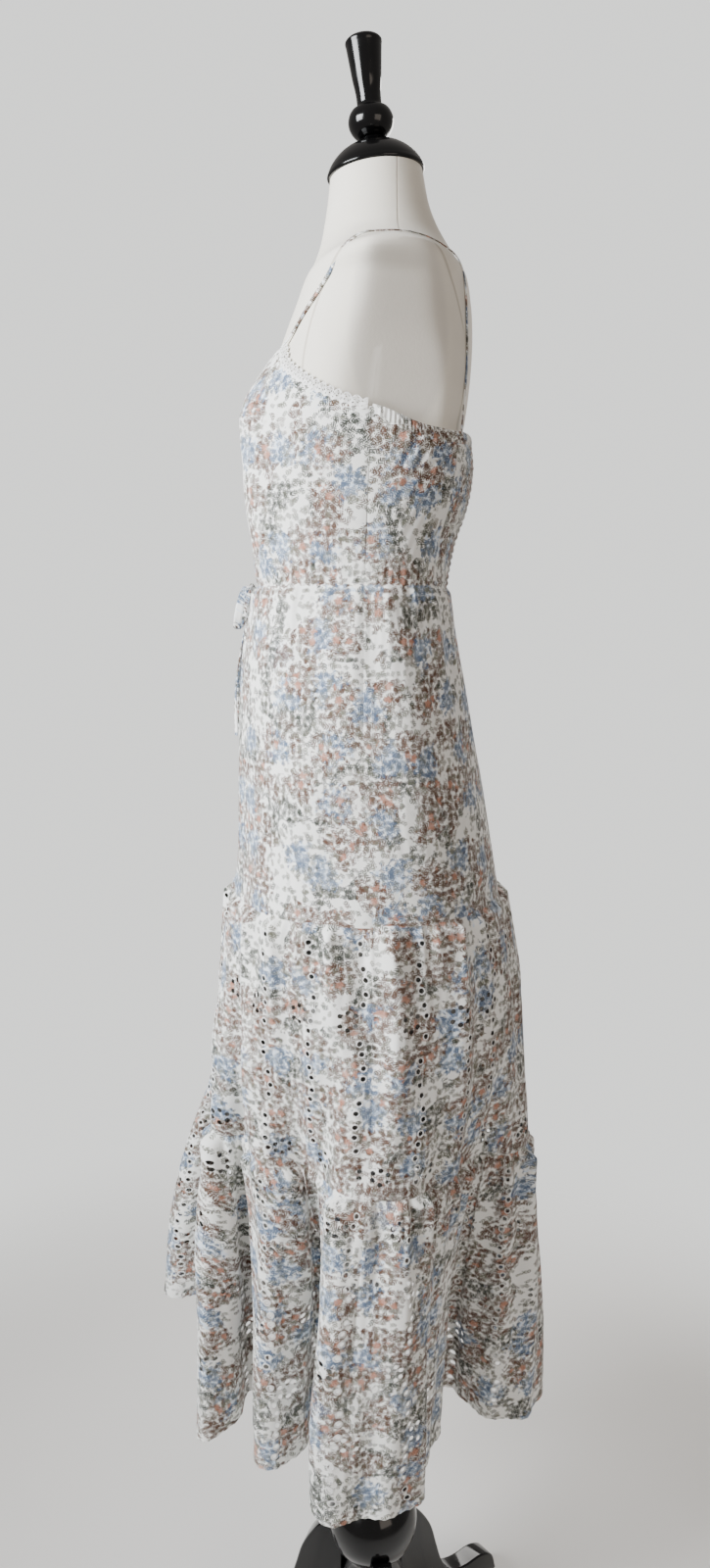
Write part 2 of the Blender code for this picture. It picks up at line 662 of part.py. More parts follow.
def build_lining():
    turns = np.arange(LINING_COLUMNS) / LINING_COLUMNS * 2 * math.pi
    heights = [row.z for row in LINING_INSETS]
    smooth = np.stack([skirt_ring(z, turns) for z in heights])
    normals = closed_grid_normals(smooth)
    inset = np.array([row.inset for row in LINING_INSETS])
    outer = smooth - normals * inset[:, None, None]
    inner = outer - normals * LINING_WALL
    for grid in (outer, inner):
        grid[0, :, 2] = WAIST_Z - SEAM_GAP / 2
    build_halves("skirt_lining", outer, inner, WHITE_COTTON)


def top_edge(turns):
    """Height of the bodice's top edge for turns in degrees, alike on both sides."""
    folded = np.abs((np.asarray(turns, float) + 90.0) % 360.0 - 180.0)
    rows = sorted(TOP_EDGE, key=lambda row: 90.0 - row.turn)
    return smooth_value([90.0 - row.turn for row in rows], [row.z for row in rows], folded)


def bodice_point(turn, z):
    return oval_ring(BODICE_SECTIONS, z, np.array([math.radians(turn)]))[0]


def bodice_sheet(turns, top, bottom, rows):
    """Smooth outer points of the bodice between two edges given for each turn."""
    sheet = []
    for share in np.linspace(0, 1, rows):
        heights = [high + (low - high) * share for high, low in zip(top, bottom)]
        sheet.append([bodice_point(turn, z) for turn, z in zip(turns, heights)])
    return np.array(sheet)


def bodice_wall(name, turns, top, bottom, rows, relief=None):
    outer = bodice_sheet(turns, top, bottom, rows)
    normals = open_grid_normals(outer)
    inner = outer - normals * BODICE_WALL
    if relief is not None:
        outer = outer + normals * relief[..., None]
    inner[0, :, 2] = outer[0, :, 2]
    inner[-1, :, 2] = outer[-1, :, 2]
    part_seam(outer, inner)
    return sheet_wall(name, outer, inner, PRINTED_COTTON)


def build_bodice():
    bottom_z = WAIST_Z + SEAM_GAP / 2
    for side, first, last in (("left", 270.0, 360.0), ("right", 180.0, 270.0)):
        turns = np.linspace(first, last, FRONT_COLUMNS)
        top = top_edge(turns)
        bodice_wall(f"bodice_front_{side}", turns, top, np.full(FRONT_COLUMNS, bottom_z), FRONT_ROWS)
    for side, first, last in (("left", 0.0, SMOCKED_TURN), ("right", 180.0 - SMOCKED_TURN, 180.0)):
        turns = np.linspace(first, last, SIDE_COLUMNS)
        top = top_edge(turns) - CASING_HEIGHT - SEAM_GAP
        bodice_wall(f"bodice_side_{side}", turns, top, np.full(SIDE_COLUMNS, bottom_z), SIDE_ROWS)
    turns = np.linspace(SMOCKED_TURN, 180.0 - SMOCKED_TURN, SMOCKED_COLUMNS)
    rows = 2 * SMOCK_RIDGES + 1
    relief = np.zeros((rows, SMOCKED_COLUMNS))
    relief[1::2] = SMOCK_HEIGHT
    top = top_edge(turns) - CASING_HEIGHT - SEAM_GAP
    bodice_wall("bodice_back_smocked", turns, top, np.full(SMOCKED_COLUMNS, bottom_z), rows, relief)
    columns = 2 * CASING_GATHERS + 1
    turns = np.linspace(0.0, 180.0, columns)
    relief = np.tile(np.where(np.arange(columns) % 2, CASING_GATHER_DEPTH, 0.0), (3, 1))
    relief[[0, 2]] *= CASING_EDGE_SHARE
    top = top_edge(turns)
    bodice_wall("back_casing", turns, top, top - CASING_HEIGHT, 3, relief)


def build_lace():
    """A scalloped edging that lies on the outside of the front neckline."""
    columns = 2 * LACE_SCALLOPS + 1
    for side, first in (("left", 270.0), ("right", 180.0)):
        turns = np.linspace(first + LACE_FROM_SEAMS, first + 90.0 - LACE_FROM_SEAMS, columns)
        edge = top_edge(turns)
        scallop = np.where(np.arange(columns) % 2, LACE_SCALLOP, 0.0)
        smooth = bodice_sheet(turns, edge + LACE_ABOVE_EDGE + scallop, edge - LACE_BELOW_EDGE, 3)
        plain = bodice_sheet(turns, edge + LACE_ABOVE_EDGE, edge - LACE_BELOW_EDGE, 3)
        normals = open_grid_normals(plain)
        inner = smooth + normals * LACE_OFF_CLOTH
        outer = inner + normals * LACE_WALL
        sheet_wall(f"lace_trim_{side}", outer, inner, WHITE_COTTON)


def build_form():
    turns = np.arange(FORM_COLUMNS) / FORM_COLUMNS * 2 * math.pi
    rings = [oval_ring(FORM_SECTIONS, row.z, turns) for row in FORM_SECTIONS]
    rings[-1][:, 2] += rings[-1][:, 1] * math.tan(NECK_TILT)
    return loft_solid("form_torso", rings, IVORY_LINEN)


def turned_solid(name, profile, finish, location, tilt=0.0):
    """A profile turned about its own axis."""
    shape = bmesh.new()
    corners = [shape.verts.new((row.radius, 0.0, row.z)) for row in profile]
    for start, end in zip(corners, corners[1:]):
        shape.edges.new((start, end))
    mesh = bpy.data.meshes.new(name)
    shape.to_mesh(mesh)
    shape.free()
    item = add_object(name, mesh, finish)
    item.location = location
    item.rotation_euler = (tilt, 0.0, 0.0)
    turning = item.modifiers.new("turning", "SCREW")
    turning.steps = TURNED_STEPS
    turning.render_steps = TURNED_STEPS
    turning.use_merge_vertices = True
    turning.merge_threshold = 0.00005
    turning.use_smooth_shade = True
    return item


def build_neck_cap_and_finial():
    """The cap sits on the tilted top of the neck, and the finial on the cap, along one axis."""
    along = Vector((0.0, -math.sin(NECK_TILT), math.cos(NECK_TILT)))
    cap_base = Vector((0.0, -0.0005, NECK_TOP_Z)) + along * SEAM_GAP
    turned_solid("neck_cap", CAP_PROFILE, BLACK_LACQUER, cap_base, NECK_TILT)
    finial_base = cap_base + along * (CAP_PROFILE[0].z + SEAM_GAP)
    turned_solid("finial", FINIAL_PROFILE, BLACK_LACQUER, finial_base, NECK_TILT)


def build_stand():
    bottom = HUB_PROFILE[0].z + SEAM_GAP
    top = FORM_BOTTOM_Z - SEAM_GAP
    profile = (Turned(0.0, top), Turned(POLE_RADIUS, top), Turned(POLE_RADIUS, bottom), Turned(0.0, bottom))
    turned_solid("pole", profile, STEEL, (0.0, 0.0, 0.0))
    turned_solid("base_hub", HUB_PROFILE, BLACK_LACQUER, (0.0, 0.0, 0.0))
    for number, turn in enumerate(LEG_TURNS, start=1):
        outline = bpy.data.curves.new(f"leg_{number}", "CURVE")
        outline.dimensions = "2D"
        outline.fill_mode = "BOTH"
        outline.extrude = LEG_HALF_THICKNESS
        outline.bevel_depth = LEG_EDGE
        outline.bevel_resolution = 1
        outline.offset = -LEG_EDGE
        line = outline.splines.new("POLY")
        line.points.add(len(LEG_OUTLINE) - 1)
        for point, row in zip(line.points, LEG_OUTLINE):
            point.co = (row.reach, row.z, 0.0, 1.0)
        line.use_cyclic_u = True
        leg = add_object(f"leg_{number}", outline, BLACK_LACQUER)
        # The outline's X runs outwards from the pole and its Y upwards.
        leg.rotation_euler = (math.pi / 2, 0.0, math.radians(turn + 90.0))


def ribbon_solid(name, centres, sides, normals, width, thickness, finish):
    """A flat ribbon along a route, its inner face on the route."""
    rings = []
    for centre, side, normal in zip(centres, sides, normals):
        reach = side * width / 2
        out = normal * thickness
        rings.append([centre - reach, centre + reach, centre + reach + out, centre - reach + out])
    item = loft_solid(name, rings, finish)
    solid = bmesh.new()
    solid.from_mesh(item.data)
    bmesh.ops.recalc_face_normals(solid, faces=solid.faces)
    solid.to_mesh(item.data)
    solid.free()
    return item


def spread_route(points, count):
    """Evenly spaced points along a smooth open curve."""
    points = np.asarray(points, float)
    steps = np.linalg.norm(np.diff(points, axis=0), axis=1)
    length = np.concatenate([[0], np.cumsum(steps)])
    reads = np.linspace(0, length[-1], count)
    return np.array([[smooth_value(length, points[:, axis], at) for axis in range(3)] for at in reads])


def lift_clear(surface, centres, reach, normals):
    """Raises a ribbon's points until its inner face clears a closed surface all along."""
    for _ in range(LIFT_PASSES):
        for number in range(len(centres) - 1):
            worst = STRAP_LIFT
            for share in (0.0, 0.25, 0.5, 0.75, 1.0):
                for edge in (-1.0, 0.0, 1.0):
                    start = centres[number] + reach[number] * edge
                    end = centres[number + 1] + reach[number + 1] * edge
                    point = Vector(start * (1 - share) + end * share)
                    nearest, normal, _, distance = surface.find_nearest(point)
                    height = distance if (point - nearest).dot(normal) > 0 else -distance
                    worst = min(worst, height)
            rise = (STRAP_LIFT - worst) * LIFT_SHARE
            centres[number] += normals[number] * rise
            centres[number + 1] += normals[number + 1] * rise


def build_straps(torso):
    surface = BVHTree.FromPolygons(
        [vertex.co[:] for vertex in torso.data.vertices], [face.vertices[:] for face in torso.data.polygons]
    )
    for side, mirror in (("left", 1.0), ("right", -1.0)):
        peak = bodice_point(CUP_PEAK_TURN, float(top_edge(CUP_PEAK_TURN)))
        tail = bodice_point(STRAP_BACK_TURN, float(top_edge(STRAP_BACK_TURN)))
        route = [peak] + [np.array(row) for row in STRAP_ROUTE] + [tail]
        spread = spread_route(route, STRAP_ROWS)
        along = np.gradient(spread, axis=0)
        along /= np.linalg.norm(along, axis=1, keepdims=True)
        laid, normals = [], []
        for point in spread:
            nearest, normal, _, _ = surface.find_nearest(Vector(point))
            laid.append(np.array(nearest))
            normals.append(np.array(normal))
        normals = np.array(normals)
        for _ in range(2):
            normals[1:-1] = (normals[:-2] + normals[1:-1] * 2 + normals[2:]) / 4
        normals -= along * np.sum(normals * along, axis=1, keepdims=True)
        normals /= np.linalg.norm(normals, axis=1, keepdims=True)
        share = np.linspace(0, 1, STRAP_ROWS)
        from_end = np.minimum(share, 1 - share)
        at_ends = np.clip(1 - from_end / STRAP_END_SHARE, 0, 1) ** STRAP_END_POWER
        centres = np.array(laid) + normals * STRAP_CLEARANCE
        ends = spread - normals * (BODICE_WALL / 2 + STRAP_THICKNESS / 2 + STRAP_TUCK)
        centres = centres * (1 - at_ends[:, None]) + ends * at_ends[:, None]
        across = np.cross(along, normals)
        lift_clear(surface, centres, across * STRAP_WIDTH / 2, normals)
        centres[0, 2] += STRAP_FRONT_RISE
        centres[-1, 2] += STRAP_BACK_RISE
        for grid in (centres, normals, across):
            grid[:, 0] *= mirror
        ribbon_solid(f"strap_{side}", centres, across, normals, STRAP_WIDTH, STRAP_THICKNESS, PRINTED_COTTON)


def build_tie():
    """A narrow bow at the waist in front: a knot, two loops and two tails."""

    def front_at(z):
        sections = BODICE_SECTIONS if z > WAIST_Z else SKIRT_SECTIONS
        return section_at(sections, z).front

    for side, mirror in (("left", 1.0), ("right", -1.0)):
        for name, rows, count in (("loop", TIE_LOOP, LOOP_ROWS), ("tail", TIE_TAIL, TAIL_ROWS)):
            route = [(row.x, front_at(row.z) - row.ahead, row.z) for row in rows]
            centres = spread_route(route, count)
            along = np.gradient(centres, axis=0)
            along /= np.linalg.norm(along, axis=1, keepdims=True)
            if name == "loop":
                across = np.tile([0.0, 1.0, 0.0], (count, 1))
            else:
                twist = np.linspace(*TAIL_TWIST, count)
                across = np.stack([np.cos(twist), np.sin(twist) * TAIL_TWIST_DEPTH, np.zeros(count)], axis=1)
            across -= along * np.sum(across * along, axis=1, keepdims=True)
            across /= np.linalg.norm(across, axis=1, keepdims=True)
            normals = np.cross(along, across)
            for grid in (centres, normals, across):
                grid[:, 0] *= mirror
            piece = f"tie_{name}_{side}"
            ribbon_solid(piece, centres, across, normals, TIE_WIDTH, TIE_THICKNESS, PRINTED_COTTON)
    knot = bmesh.new()
    bmesh.ops.create_uvsphere(knot, u_segments=KNOT_SEGMENTS, v_segments=KNOT_RINGS, radius=0.5)
    bmesh.ops.scale(knot, vec=KNOT_SIZE, verts=knot.verts)
    mesh = bpy.data.meshes.new("tie_knot")
    knot.to_mesh(mesh)
    knot.free()
    item = add_object("tie_knot", mesh, PRINTED_COTTON)
    item.location = (0.0, front_at(WAIST_Z) - KNOT_SIZE[1] / 2 - KNOT_AHEAD, WAIST_Z - KNOT_BELOW_WAIST)
    item.data.shade_smooth()


def main():
    torso = build_form()
    build_neck_cap_and_finial()
    build_stand()
    build_bodice()
    build_lace()
    build_skirt()
    build_lining()
    build_straps(torso)
    build_tie()


main()
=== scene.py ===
import math
from functools import partial

import bmesh
import bpy
import numpy as np
from mathutils import Matrix, Vector


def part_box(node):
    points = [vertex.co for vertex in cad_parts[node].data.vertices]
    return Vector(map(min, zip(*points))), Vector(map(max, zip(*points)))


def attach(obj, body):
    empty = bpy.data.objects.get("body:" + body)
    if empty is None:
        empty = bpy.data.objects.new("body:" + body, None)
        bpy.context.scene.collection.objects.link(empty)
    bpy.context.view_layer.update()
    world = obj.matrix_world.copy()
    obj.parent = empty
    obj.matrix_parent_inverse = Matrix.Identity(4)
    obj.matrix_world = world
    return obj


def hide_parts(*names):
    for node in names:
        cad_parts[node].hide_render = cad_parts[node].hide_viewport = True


# Printed midi dress on an ivory dress form with a black stand.
# Metres, the wearer faces -Y and +X is the wearer's left.

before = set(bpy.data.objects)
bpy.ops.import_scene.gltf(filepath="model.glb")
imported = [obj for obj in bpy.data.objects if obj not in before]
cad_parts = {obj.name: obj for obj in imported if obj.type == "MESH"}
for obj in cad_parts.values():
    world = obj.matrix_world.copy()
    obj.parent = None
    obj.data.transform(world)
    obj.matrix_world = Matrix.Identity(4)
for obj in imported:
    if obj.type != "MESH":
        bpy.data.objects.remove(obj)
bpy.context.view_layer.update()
print("frame loaded")

lowPole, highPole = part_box("pole")
poleAxis = np.array([(lowPole.x + highPole.x) / 2, (lowPole.y + highPole.y) / 2, 0.0])
origin = (0.0, 0.0, 0.0)


def isSocket(value):
    return isinstance(value, bpy.types.NodeSocket)


def setInputs(node, **inputs):
    # spaces in socket names are written as double underscores, numbered sockets as in0, in1
    for key, value in inputs.items():
        numbered = key[:2] == "in" and key[2:].isdigit()
        socket = node.inputs[int(key[2:]) if numbered else key.replace("__", " ")]
        if isSocket(value):
            node.id_data.links.new(value, socket)
        else:
            socket.default_value = value


def addNode(tree, kind, settings=None, **inputs):
    node = tree.nodes.new(kind)
    for key, value in (settings or {}).items():
        setattr(node, key, value)
    setInputs(node, **inputs)
    return node


def doMath(operation, *terms, kind="ShaderNodeMath"):
    # the tree is the one that holds the first socket among the terms
    tree = next(term for term in terms if isSocket(term)).id_data
    inputs = {f"in{number}": term for number, term in enumerate(terms)}
    return addNode(tree, kind, {"operation": operation}, **inputs).outputs[0]


plus, minus, times, over, larger, absolute, sine = (
    partial(doMath, name)
    for name in ("ADD", "SUBTRACT", "MULTIPLY", "DIVIDE", "MAXIMUM", "ABSOLUTE", "SINE")
)
doVector = partial(doMath, kind="ShaderNodeVectorMath")


def squared(value):
    return doMath("POWER", absolute(value), 2.0)


def lengthOf(vector):
    return doVector("LENGTH", vector).node.outputs["Value"]


def splitVector(vector):
    return addNode(vector.id_data, "ShaderNodeSeparateXYZ", Vector=vector).outputs


def addNoise(place, scale, detail, dimensions="3D"):
    settings = {"noise_dimensions": dimensions}
    node = addNode(
        place.id_data, "ShaderNodeTexNoise", settings, Vector=place, Scale=scale, Detail=detail
    )
    return node.outputs[0]


def fade(value, low, high, least=0.0, most=1.0, kind="SMOOTHSTEP"):
    settings = {"interpolation_type": kind}
    inputs = dict(in0=value, in1=low, in2=high, in3=least, in4=most)
    return addNode(value.id_data, "ShaderNodeMapRange", settings, **inputs).outputs[0]


def mixColor(factor, a, b):
    a, b = (color if isSocket(color) else (*color, 1.0) for color in (a, b))
    settings = {"data_type": "RGBA"}
    return addNode(factor.id_data, "ShaderNodeMix", settings, in0=factor, in6=a, in7=b).outputs[2]


def newGroup(name, inputs, outputs):
    # an input takes vectors where its value is a tuple, otherwise numbers
    group = bpy.data.node_groups.new(name, "ShaderNodeTree")
    for label, value in inputs.items():
        kind = "NodeSocketVector" if isinstance(value, tuple) else "NodeSocketFloat"
        socket = group.interface.new_socket(name=label, in_out="INPUT", socket_type=kind)
        socket.default_value = value
    for label in outputs:
        group.interface.new_socket(name=label, in_out="OUTPUT", socket_type="NodeSocketFloat")
    start = group.nodes.new("NodeGroupInput")
    return group, start.outputs, group.nodes.new("NodeGroupOutput")


def useGroup(group, **inputs):
    tree = inputs["Cloth"].id_data
    return addNode(tree, "ShaderNodeGroup", {"node_tree": group}, **inputs).outputs


def newMaterial(name, **plain):
    material = bpy.data.materials.new(name)
    material.use_nodes = True
    shader = material.node_tree.nodes["Principled BSDF"]
    setInputs(shader, **plain)
    return material, material.node_tree, shader


def addBump(shader, strength, distance, height):
    tree = shader.id_data
    bump = addNode(tree, "ShaderNodeBump", Strength=strength, Distance=distance, Height=height)
    setInputs(shader, Normal=bump.outputs[0])


def clothSpot(tree):
    return addNode(tree, "ShaderNodeUVMap", {"uv_map": "cloth"}).outputs[0]


def objectSpot(tree):
    return addNode(tree, "ShaderNodeTexCoord").outputs["Object"]


def addCells(given, randomness):
    # the scaled cloth, the way from the middle of its cell, and the cell's random numbers
    tree = given["Cloth"].id_data
    moved = doVector("ADD", given["Cloth"], given["Shift"])
    scale = over(1.0, given["Pitch"])
    settings = {"operation": "SCALE"}
    place = addNode(tree, "ShaderNodeVectorMath", settings, in0=moved, Scale=scale).outputs[0]
    settings = {"voronoi_dimensions": "2D"}
    inputs = dict(Vector=place, Scale=1.0, Randomness=randomness)
    cells = addNode(tree, "ShaderNodeTexVoronoi", settings, **inputs).outputs
    away = doVector("SUBTRACT", place, cells["Position"])
    picks = addNode(tree, "ShaderNodeSeparateColor", Color=cells["Color"]).outputs
    return place, away, picks


# in shares of a twig's cell
twigShape = {
    "bend": 0.35,
    "pairPitch": 0.30,
    "leafLength": 0.17,
    "leafStart": 0.85,
    "leafWidth": 0.086,
    "stem": (0.035, 0.018),
    "ends": (0.47, 0.40),
}


def makeTwigGroup():
    # one small twig with paired leaves in each cell of the cloth
    shape = twigShape
    inputs = {"Cloth": origin, "Pitch": 0.009, "Shift": origin, "Leaf": 1.0}
    group, given, end = newGroup("twigs", inputs, ("Mask", "Chance"))
    place, away, picks = addCells(given, 0.75)
    angle = times(picks[0], 2 * math.pi)
    settings = {"rotation_type": "Z_AXIS"}
    turned = addNode(group, "ShaderNodeVectorRotate", settings, Vector=away, Angle=angle)
    parts = splitVector(turned.outputs[0])
    # the stem bends a little, the leaves stand in pairs along it
    across = absolute(minus(parts[1], times(squared(parts[0]), shape["bend"])))
    halfPitch = shape["pairPitch"] / 2
    along = doMath("WRAP", plus(parts[0], across), halfPitch, -halfPitch)
    fromLeaf = minus(across, shape["leafLength"] * shape["leafStart"])
    lengthwise = squared(over(fromLeaf, shape["leafLength"]))
    widthwise = squared(over(along, times(given["Leaf"], shape["leafWidth"])))
    leaf = fade(plus(lengthwise, widthwise), 1.25, 0.75)
    stem = fade(across, *shape["stem"], 0.0, 0.7)
    ends = fade(absolute(parts[0]), *shape["ends"])
    setInputs(end, Mask=times(larger(leaf, stem), ends), Chance=picks[1])
    return group


def makeBlossomGroup():
    # a ragged round blossom in each cell, with lighter and darker petals
    inputs = {"Cloth": origin, "Pitch": 0.04, "Radius": 0.2, "Ragged": 0.12}
    inputs |= {"Shift": origin, "Petals": 5.0}
    group, given, end = newGroup("blossoms", inputs, ("Mask", "Near", "Petal", "Chance"))
    place, away, picks = addCells(given, 0.7)
    parts = splitVector(away)
    rough = times(minus(addNoise(place, 9.0, 2.0, "2D"), 0.5), given["Ragged"])
    far = plus(lengthOf(away), rough)
    theta = doMath("ARCTAN2", parts[1], parts[0])
    lobes = sine(plus(times(theta, given["Petals"]), times(picks[2], 6.0)))
    share = over(far, times(given["Radius"], plus(0.85, times(lobes, 0.15))))
    spiral = sine(plus(times(share, 13.0), times(theta, 2.0)))
    setInputs(end, Mask=fade(share, 1.2, 0.60), Near=fade(share, 2.1, 1.0))
    setInputs(end, Petal=plus(times(spiral, 0.5), 0.5), Chance=picks[1])
    return group


def makeWeaveGroup():
    # crossed threads as a height
    inputs = {"Cloth": origin, "Thread": 0.0006, "Slub": 0.4}
    group, given, end = newGroup("weave", inputs, ("Height",))
    parts = splitVector(given["Cloth"])
    turns = over(math.pi, given["Thread"])
    weave = times(sine(times(parts[0], turns)), sine(times(parts[1], turns)))
    slub = times(addNoise(given["Cloth"], 320.0, 3.0), given["Slub"])
    setInputs(end, Height=plus(times(weave, 0.25), slub))
    return group


twigGroup = makeTwigGroup()
blossomGroup = makeBlossomGroup()
weaveGroup = makeWeaveGroup()

printLooks = {
    "ground": (0.89, 0.89, 0.86),
    "leaf": (0.026, 0.031, 0.022),
    "paleLeaf": (0.15, 0.15, 0.11),
    "brownLeaf": (0.085, 0.034, 0.016),
    "rose": (0.31, 0.09, 0.05),
    "paleRose": (0.66, 0.37, 0.27),
    "blueStroke": (0.080, 0.120, 0.20),
    "haze": (0.55, 0.68, 0.85),
    # where the blue and the rose clusters lie, and the roses in the rose clusters
    "blueClusters": {"Pitch": 0.052, "Radius": 0.36, "Ragged": 0.6, "Petals": 3.0},
    "roseClusters": {
        "Pitch": 0.044, "Radius": 0.31, "Ragged": 0.45, "Shift": (0.31, 0.17, 0.0), "Petals": 3.0
    },
    "roses": {
        "Pitch": 0.0135, "Radius": 0.36, "Ragged": 0.2, "Shift": (0.77, 0.43, 0.0), "Petals": 5.0
    },
    "roseStrength": 0.80,
    "twigPitch": 0.0082,
    # size, shift, leaf width, share left out in and between the clusters, strength
    "twigLayers": (
        (0.80, (0.0, 0.0, 0.0), 1.1, 0.0, 0.70, 0.92),
        (0.95, (0.113, 0.207, 0.0), 1.15, 0.0, 0.74, 0.95),
        (1.1, (0.291, 0.053, 0.0), 1.2, 0.05, 0.68, 0.95),
        (0.88, (0.431, 0.377, 0.0), 1.1, 0.35, 0.88, 0.90),
    ),
}
cottonLooks = {"Roughness": 0.82, "Sheen__Weight": 0.15, "Specular__IOR__Level": 0.25}


def makePrintedCotton():
    looks = printLooks
    material, tree, shader = newMaterial("printedCotton", **cottonLooks)
    cloth = clothSpot(tree)
    blue, zone, rose = (
        useGroup(blossomGroup, Cloth=cloth, **looks[key])
        for key in ("blueClusters", "roseClusters", "roses")
    )
    zoneOn = fade(zone["Chance"], 0.22, 0.26)
    roseZone, roseNear = times(zone["Mask"], zoneOn), times(zone["Near"], zoneOn)
    blueOn = times(blue["Mask"], fade(blue["Chance"], 0.22, 0.30))
    blueOn = times(blueOn, fade(roseZone, 0.9, 0.2))
    roseOn = times(rose["Mask"], fade(roseZone, 0.2, 0.6))
    roseOn = times(roseOn, fade(rose["Chance"], 0.10, 0.2))
    haze = times(blueOn, fade(addNoise(cloth, 420.0, 3.0, "2D"), 0.34, 0.62, 0.25, 0.90))
    color = mixColor(haze, looks["ground"], looks["haze"])
    warm = fade(addNoise(cloth, 17.0, 1.0, "2D"), 0.52, 0.62)
    brown = larger(fade(roseNear, 0.0, 0.6), warm)
    leafTone = mixColor(brown, looks["leaf"], looks["brownLeaf"])
    leafTone = mixColor(fade(blueOn, 0.1, 0.8), leafTone, looks["blueStroke"])
    # the twigs crowd in the clusters and thin out between them
    patches = fade(addNoise(cloth, 26.0, 1.0, "2D"), 0.50, 0.56)
    crowd = larger(larger(roseNear, times(blueOn, 0.9)), patches)
    for size, shift, leaf, inside, between, strength in looks["twigLayers"]:
        pitch = looks["twigPitch"] * size
        twig = useGroup(twigGroup, Cloth=cloth, Pitch=pitch, Shift=shift, Leaf=leaf)
        least = fade(crowd, 0.0, 1.0, between, inside, "LINEAR")
        on = times(twig["Mask"], fade(minus(twig["Chance"], least), 0.0, 0.04))
        tone = mixColor(fade(twig["Chance"], 0.7, 1.0), leafTone, looks["paleLeaf"])
        color = mixColor(times(on, strength), color, tone)
    roseTone = mixColor(rose["Petal"], looks["rose"], looks["paleRose"])
    color = mixColor(times(roseOn, looks["roseStrength"]), color, roseTone)
    setInputs(shader, Base__Color=color)
    height = useGroup(weaveGroup, Cloth=cloth, Thread=0.0007, Slub=0.8)["Height"]
    addBump(shader, 0.25, 0.0004, height)
    return material


def makePlainCotton(name, color, thread, strength):
    looks = cottonLooks | {"Roughness": 0.85, "Sheen__Weight": 0.2}
    material, tree, shader = newMaterial(name, **looks)
    height = useGroup(weaveGroup, Cloth=clothSpot(tree), Thread=thread, Slub=1.0)["Height"]
    darker = tuple(c * 0.86 for c in color)
    # darker where the weave lies low: the threads' uneven tone, with painted shade in the weave's
    # hollows
    setInputs(shader, Base__Color=mixColor(fade(height, 0.1, 0.7), darker, color))
    addBump(shader, strength, 0.0005, height)
    return material


# each centre and the neck seam as distance behind the pole and height
formLooks = {
    "linen": (0.84, 0.80, 0.71),
    # a darker tone, used for the stains and for painted shade in the weave's hollows
    "stainAndShade": (0.75, 0.705, 0.615),
    "seam": (0.47, 0.42, 0.35),
    "seamHalf": 0.0006,
    # the colour of the painted shade on the plate over the arm
    "plateShade": (0.62, 0.585, 0.53),
    "plateCentre": (0.019, 1.576),
    "plateReach": (0.048, 0.092),
    "armholeCentre": (0.010, 1.530),
    "armholeReach": (0.082, 0.136),
    "neckSeam": (0.0195, 1.655),
}


def makeLinen():
    looks = formLooks
    plain = cottonLooks | {"Roughness": 0.88, "Sheen__Weight": 0.12}
    material, tree, shader = newMaterial("ivoryLinen", **plain)
    place = objectSpot(tree)
    parts = splitVector(place)
    height = useGroup(weaveGroup, Cloth=clothSpot(tree), Thread=0.0009, Slub=1.2)["Height"]
    stains = fade(addNoise(place, 9.0, 4.0), 0.35, 0.75)
    color = mixColor(stains, looks["linen"], looks["stainAndShade"])
    # painted shade in the weave's hollows: darker where its height is low
    color = mixColor(fade(height, 0.75, 0.2, 0.0, 0.35), color, looks["stainAndShade"])

    def fromOval(centre, reach):
        a = squared(over(minus(parts[1], poleAxis[1] + centre[0]), reach[0]))
        b = squared(over(minus(parts[2], centre[1]), reach[1]))
        return minus(doMath("SQRT", plus(a, b)), 1.0)

    # the flat plate over the arm, painted darker as painted shade, the seam of the armhole and the
    # one down the side of the neck
    outside = fade(absolute(parts[0]), 0.070, 0.090)
    fromPlate = fromOval(looks["plateCentre"], looks["plateReach"])
    plateShade = times(fade(fromPlate, 0.05, -0.12), outside)
    # painted shade: the plate over the arm is painted darker, standing in for shading that its
    # shallow flat leaves out
    color = mixColor(times(plateShade, 0.6), color, looks["plateShade"])
    seamHalf = looks["seamHalf"]
    armhole = absolute(fromOval(looks["armholeCentre"], looks["armholeReach"]))
    armhole = times(armhole, looks["armholeReach"][0])
    armholeSeam = times(fade(armhole, seamHalf * 2.4, seamHalf * 0.8), outside)
    neckY, neckZ = looks["neckSeam"]
    neckAway = absolute(minus(parts[1], poleAxis[1] + neckY))
    above = fade(parts[2], neckZ, neckZ + 0.002)
    neckSeam = times(fade(neckAway, seamHalf * 2, seamHalf * 0.6), above)
    seams = larger(armholeSeam, neckSeam)
    color = mixColor(times(seams, 0.7), color, looks["seam"])
    setInputs(shader, Base__Color=color)
    addBump(shader, 0.35, 0.0006, minus(times(height, 0.5), times(seams, 1.6)))
    return material


def makeLacquer():
    plain = {"Coat__Weight": 0.25, "Coat__Roughness": 0.05, "Specular__IOR__Level": 0.3}
    material, tree, shader = newMaterial("blackLacquer", **plain)
    place = objectSpot(tree)
    cloudy = addNoise(place, 55.0, 5.0)
    specks = fade(addNoise(place, 900.0, 2.0), 0.72, 0.78, 0.0, 0.25)
    color = mixColor(specks, (0.002, 0.002, 0.0022), (0.05, 0.05, 0.05))
    setInputs(shader, Base__Color=color, Roughness=fade(cloudy, 0.35, 0.75, 0.10, 0.24))
    addBump(shader, 0.05, 0.001, cloudy)
    return material


def makeSteel():
    material, tree, shader = newMaterial("steel", Metallic=1.0)
    drawn = addNode(tree, "ShaderNodeMapping", Vector=objectSpot(tree), Scale=(1.0, 1.0, 0.05))
    grain = addNoise(drawn.outputs[0], 700.0, 3.0)
    setInputs(shader, Base__Color=mixColor(grain, (0.42, 0.42, 0.43), (0.62, 0.62, 0.62)))
    setInputs(shader, Roughness=fade(grain, 0.2, 0.8, 0.28, 0.42))
    return material


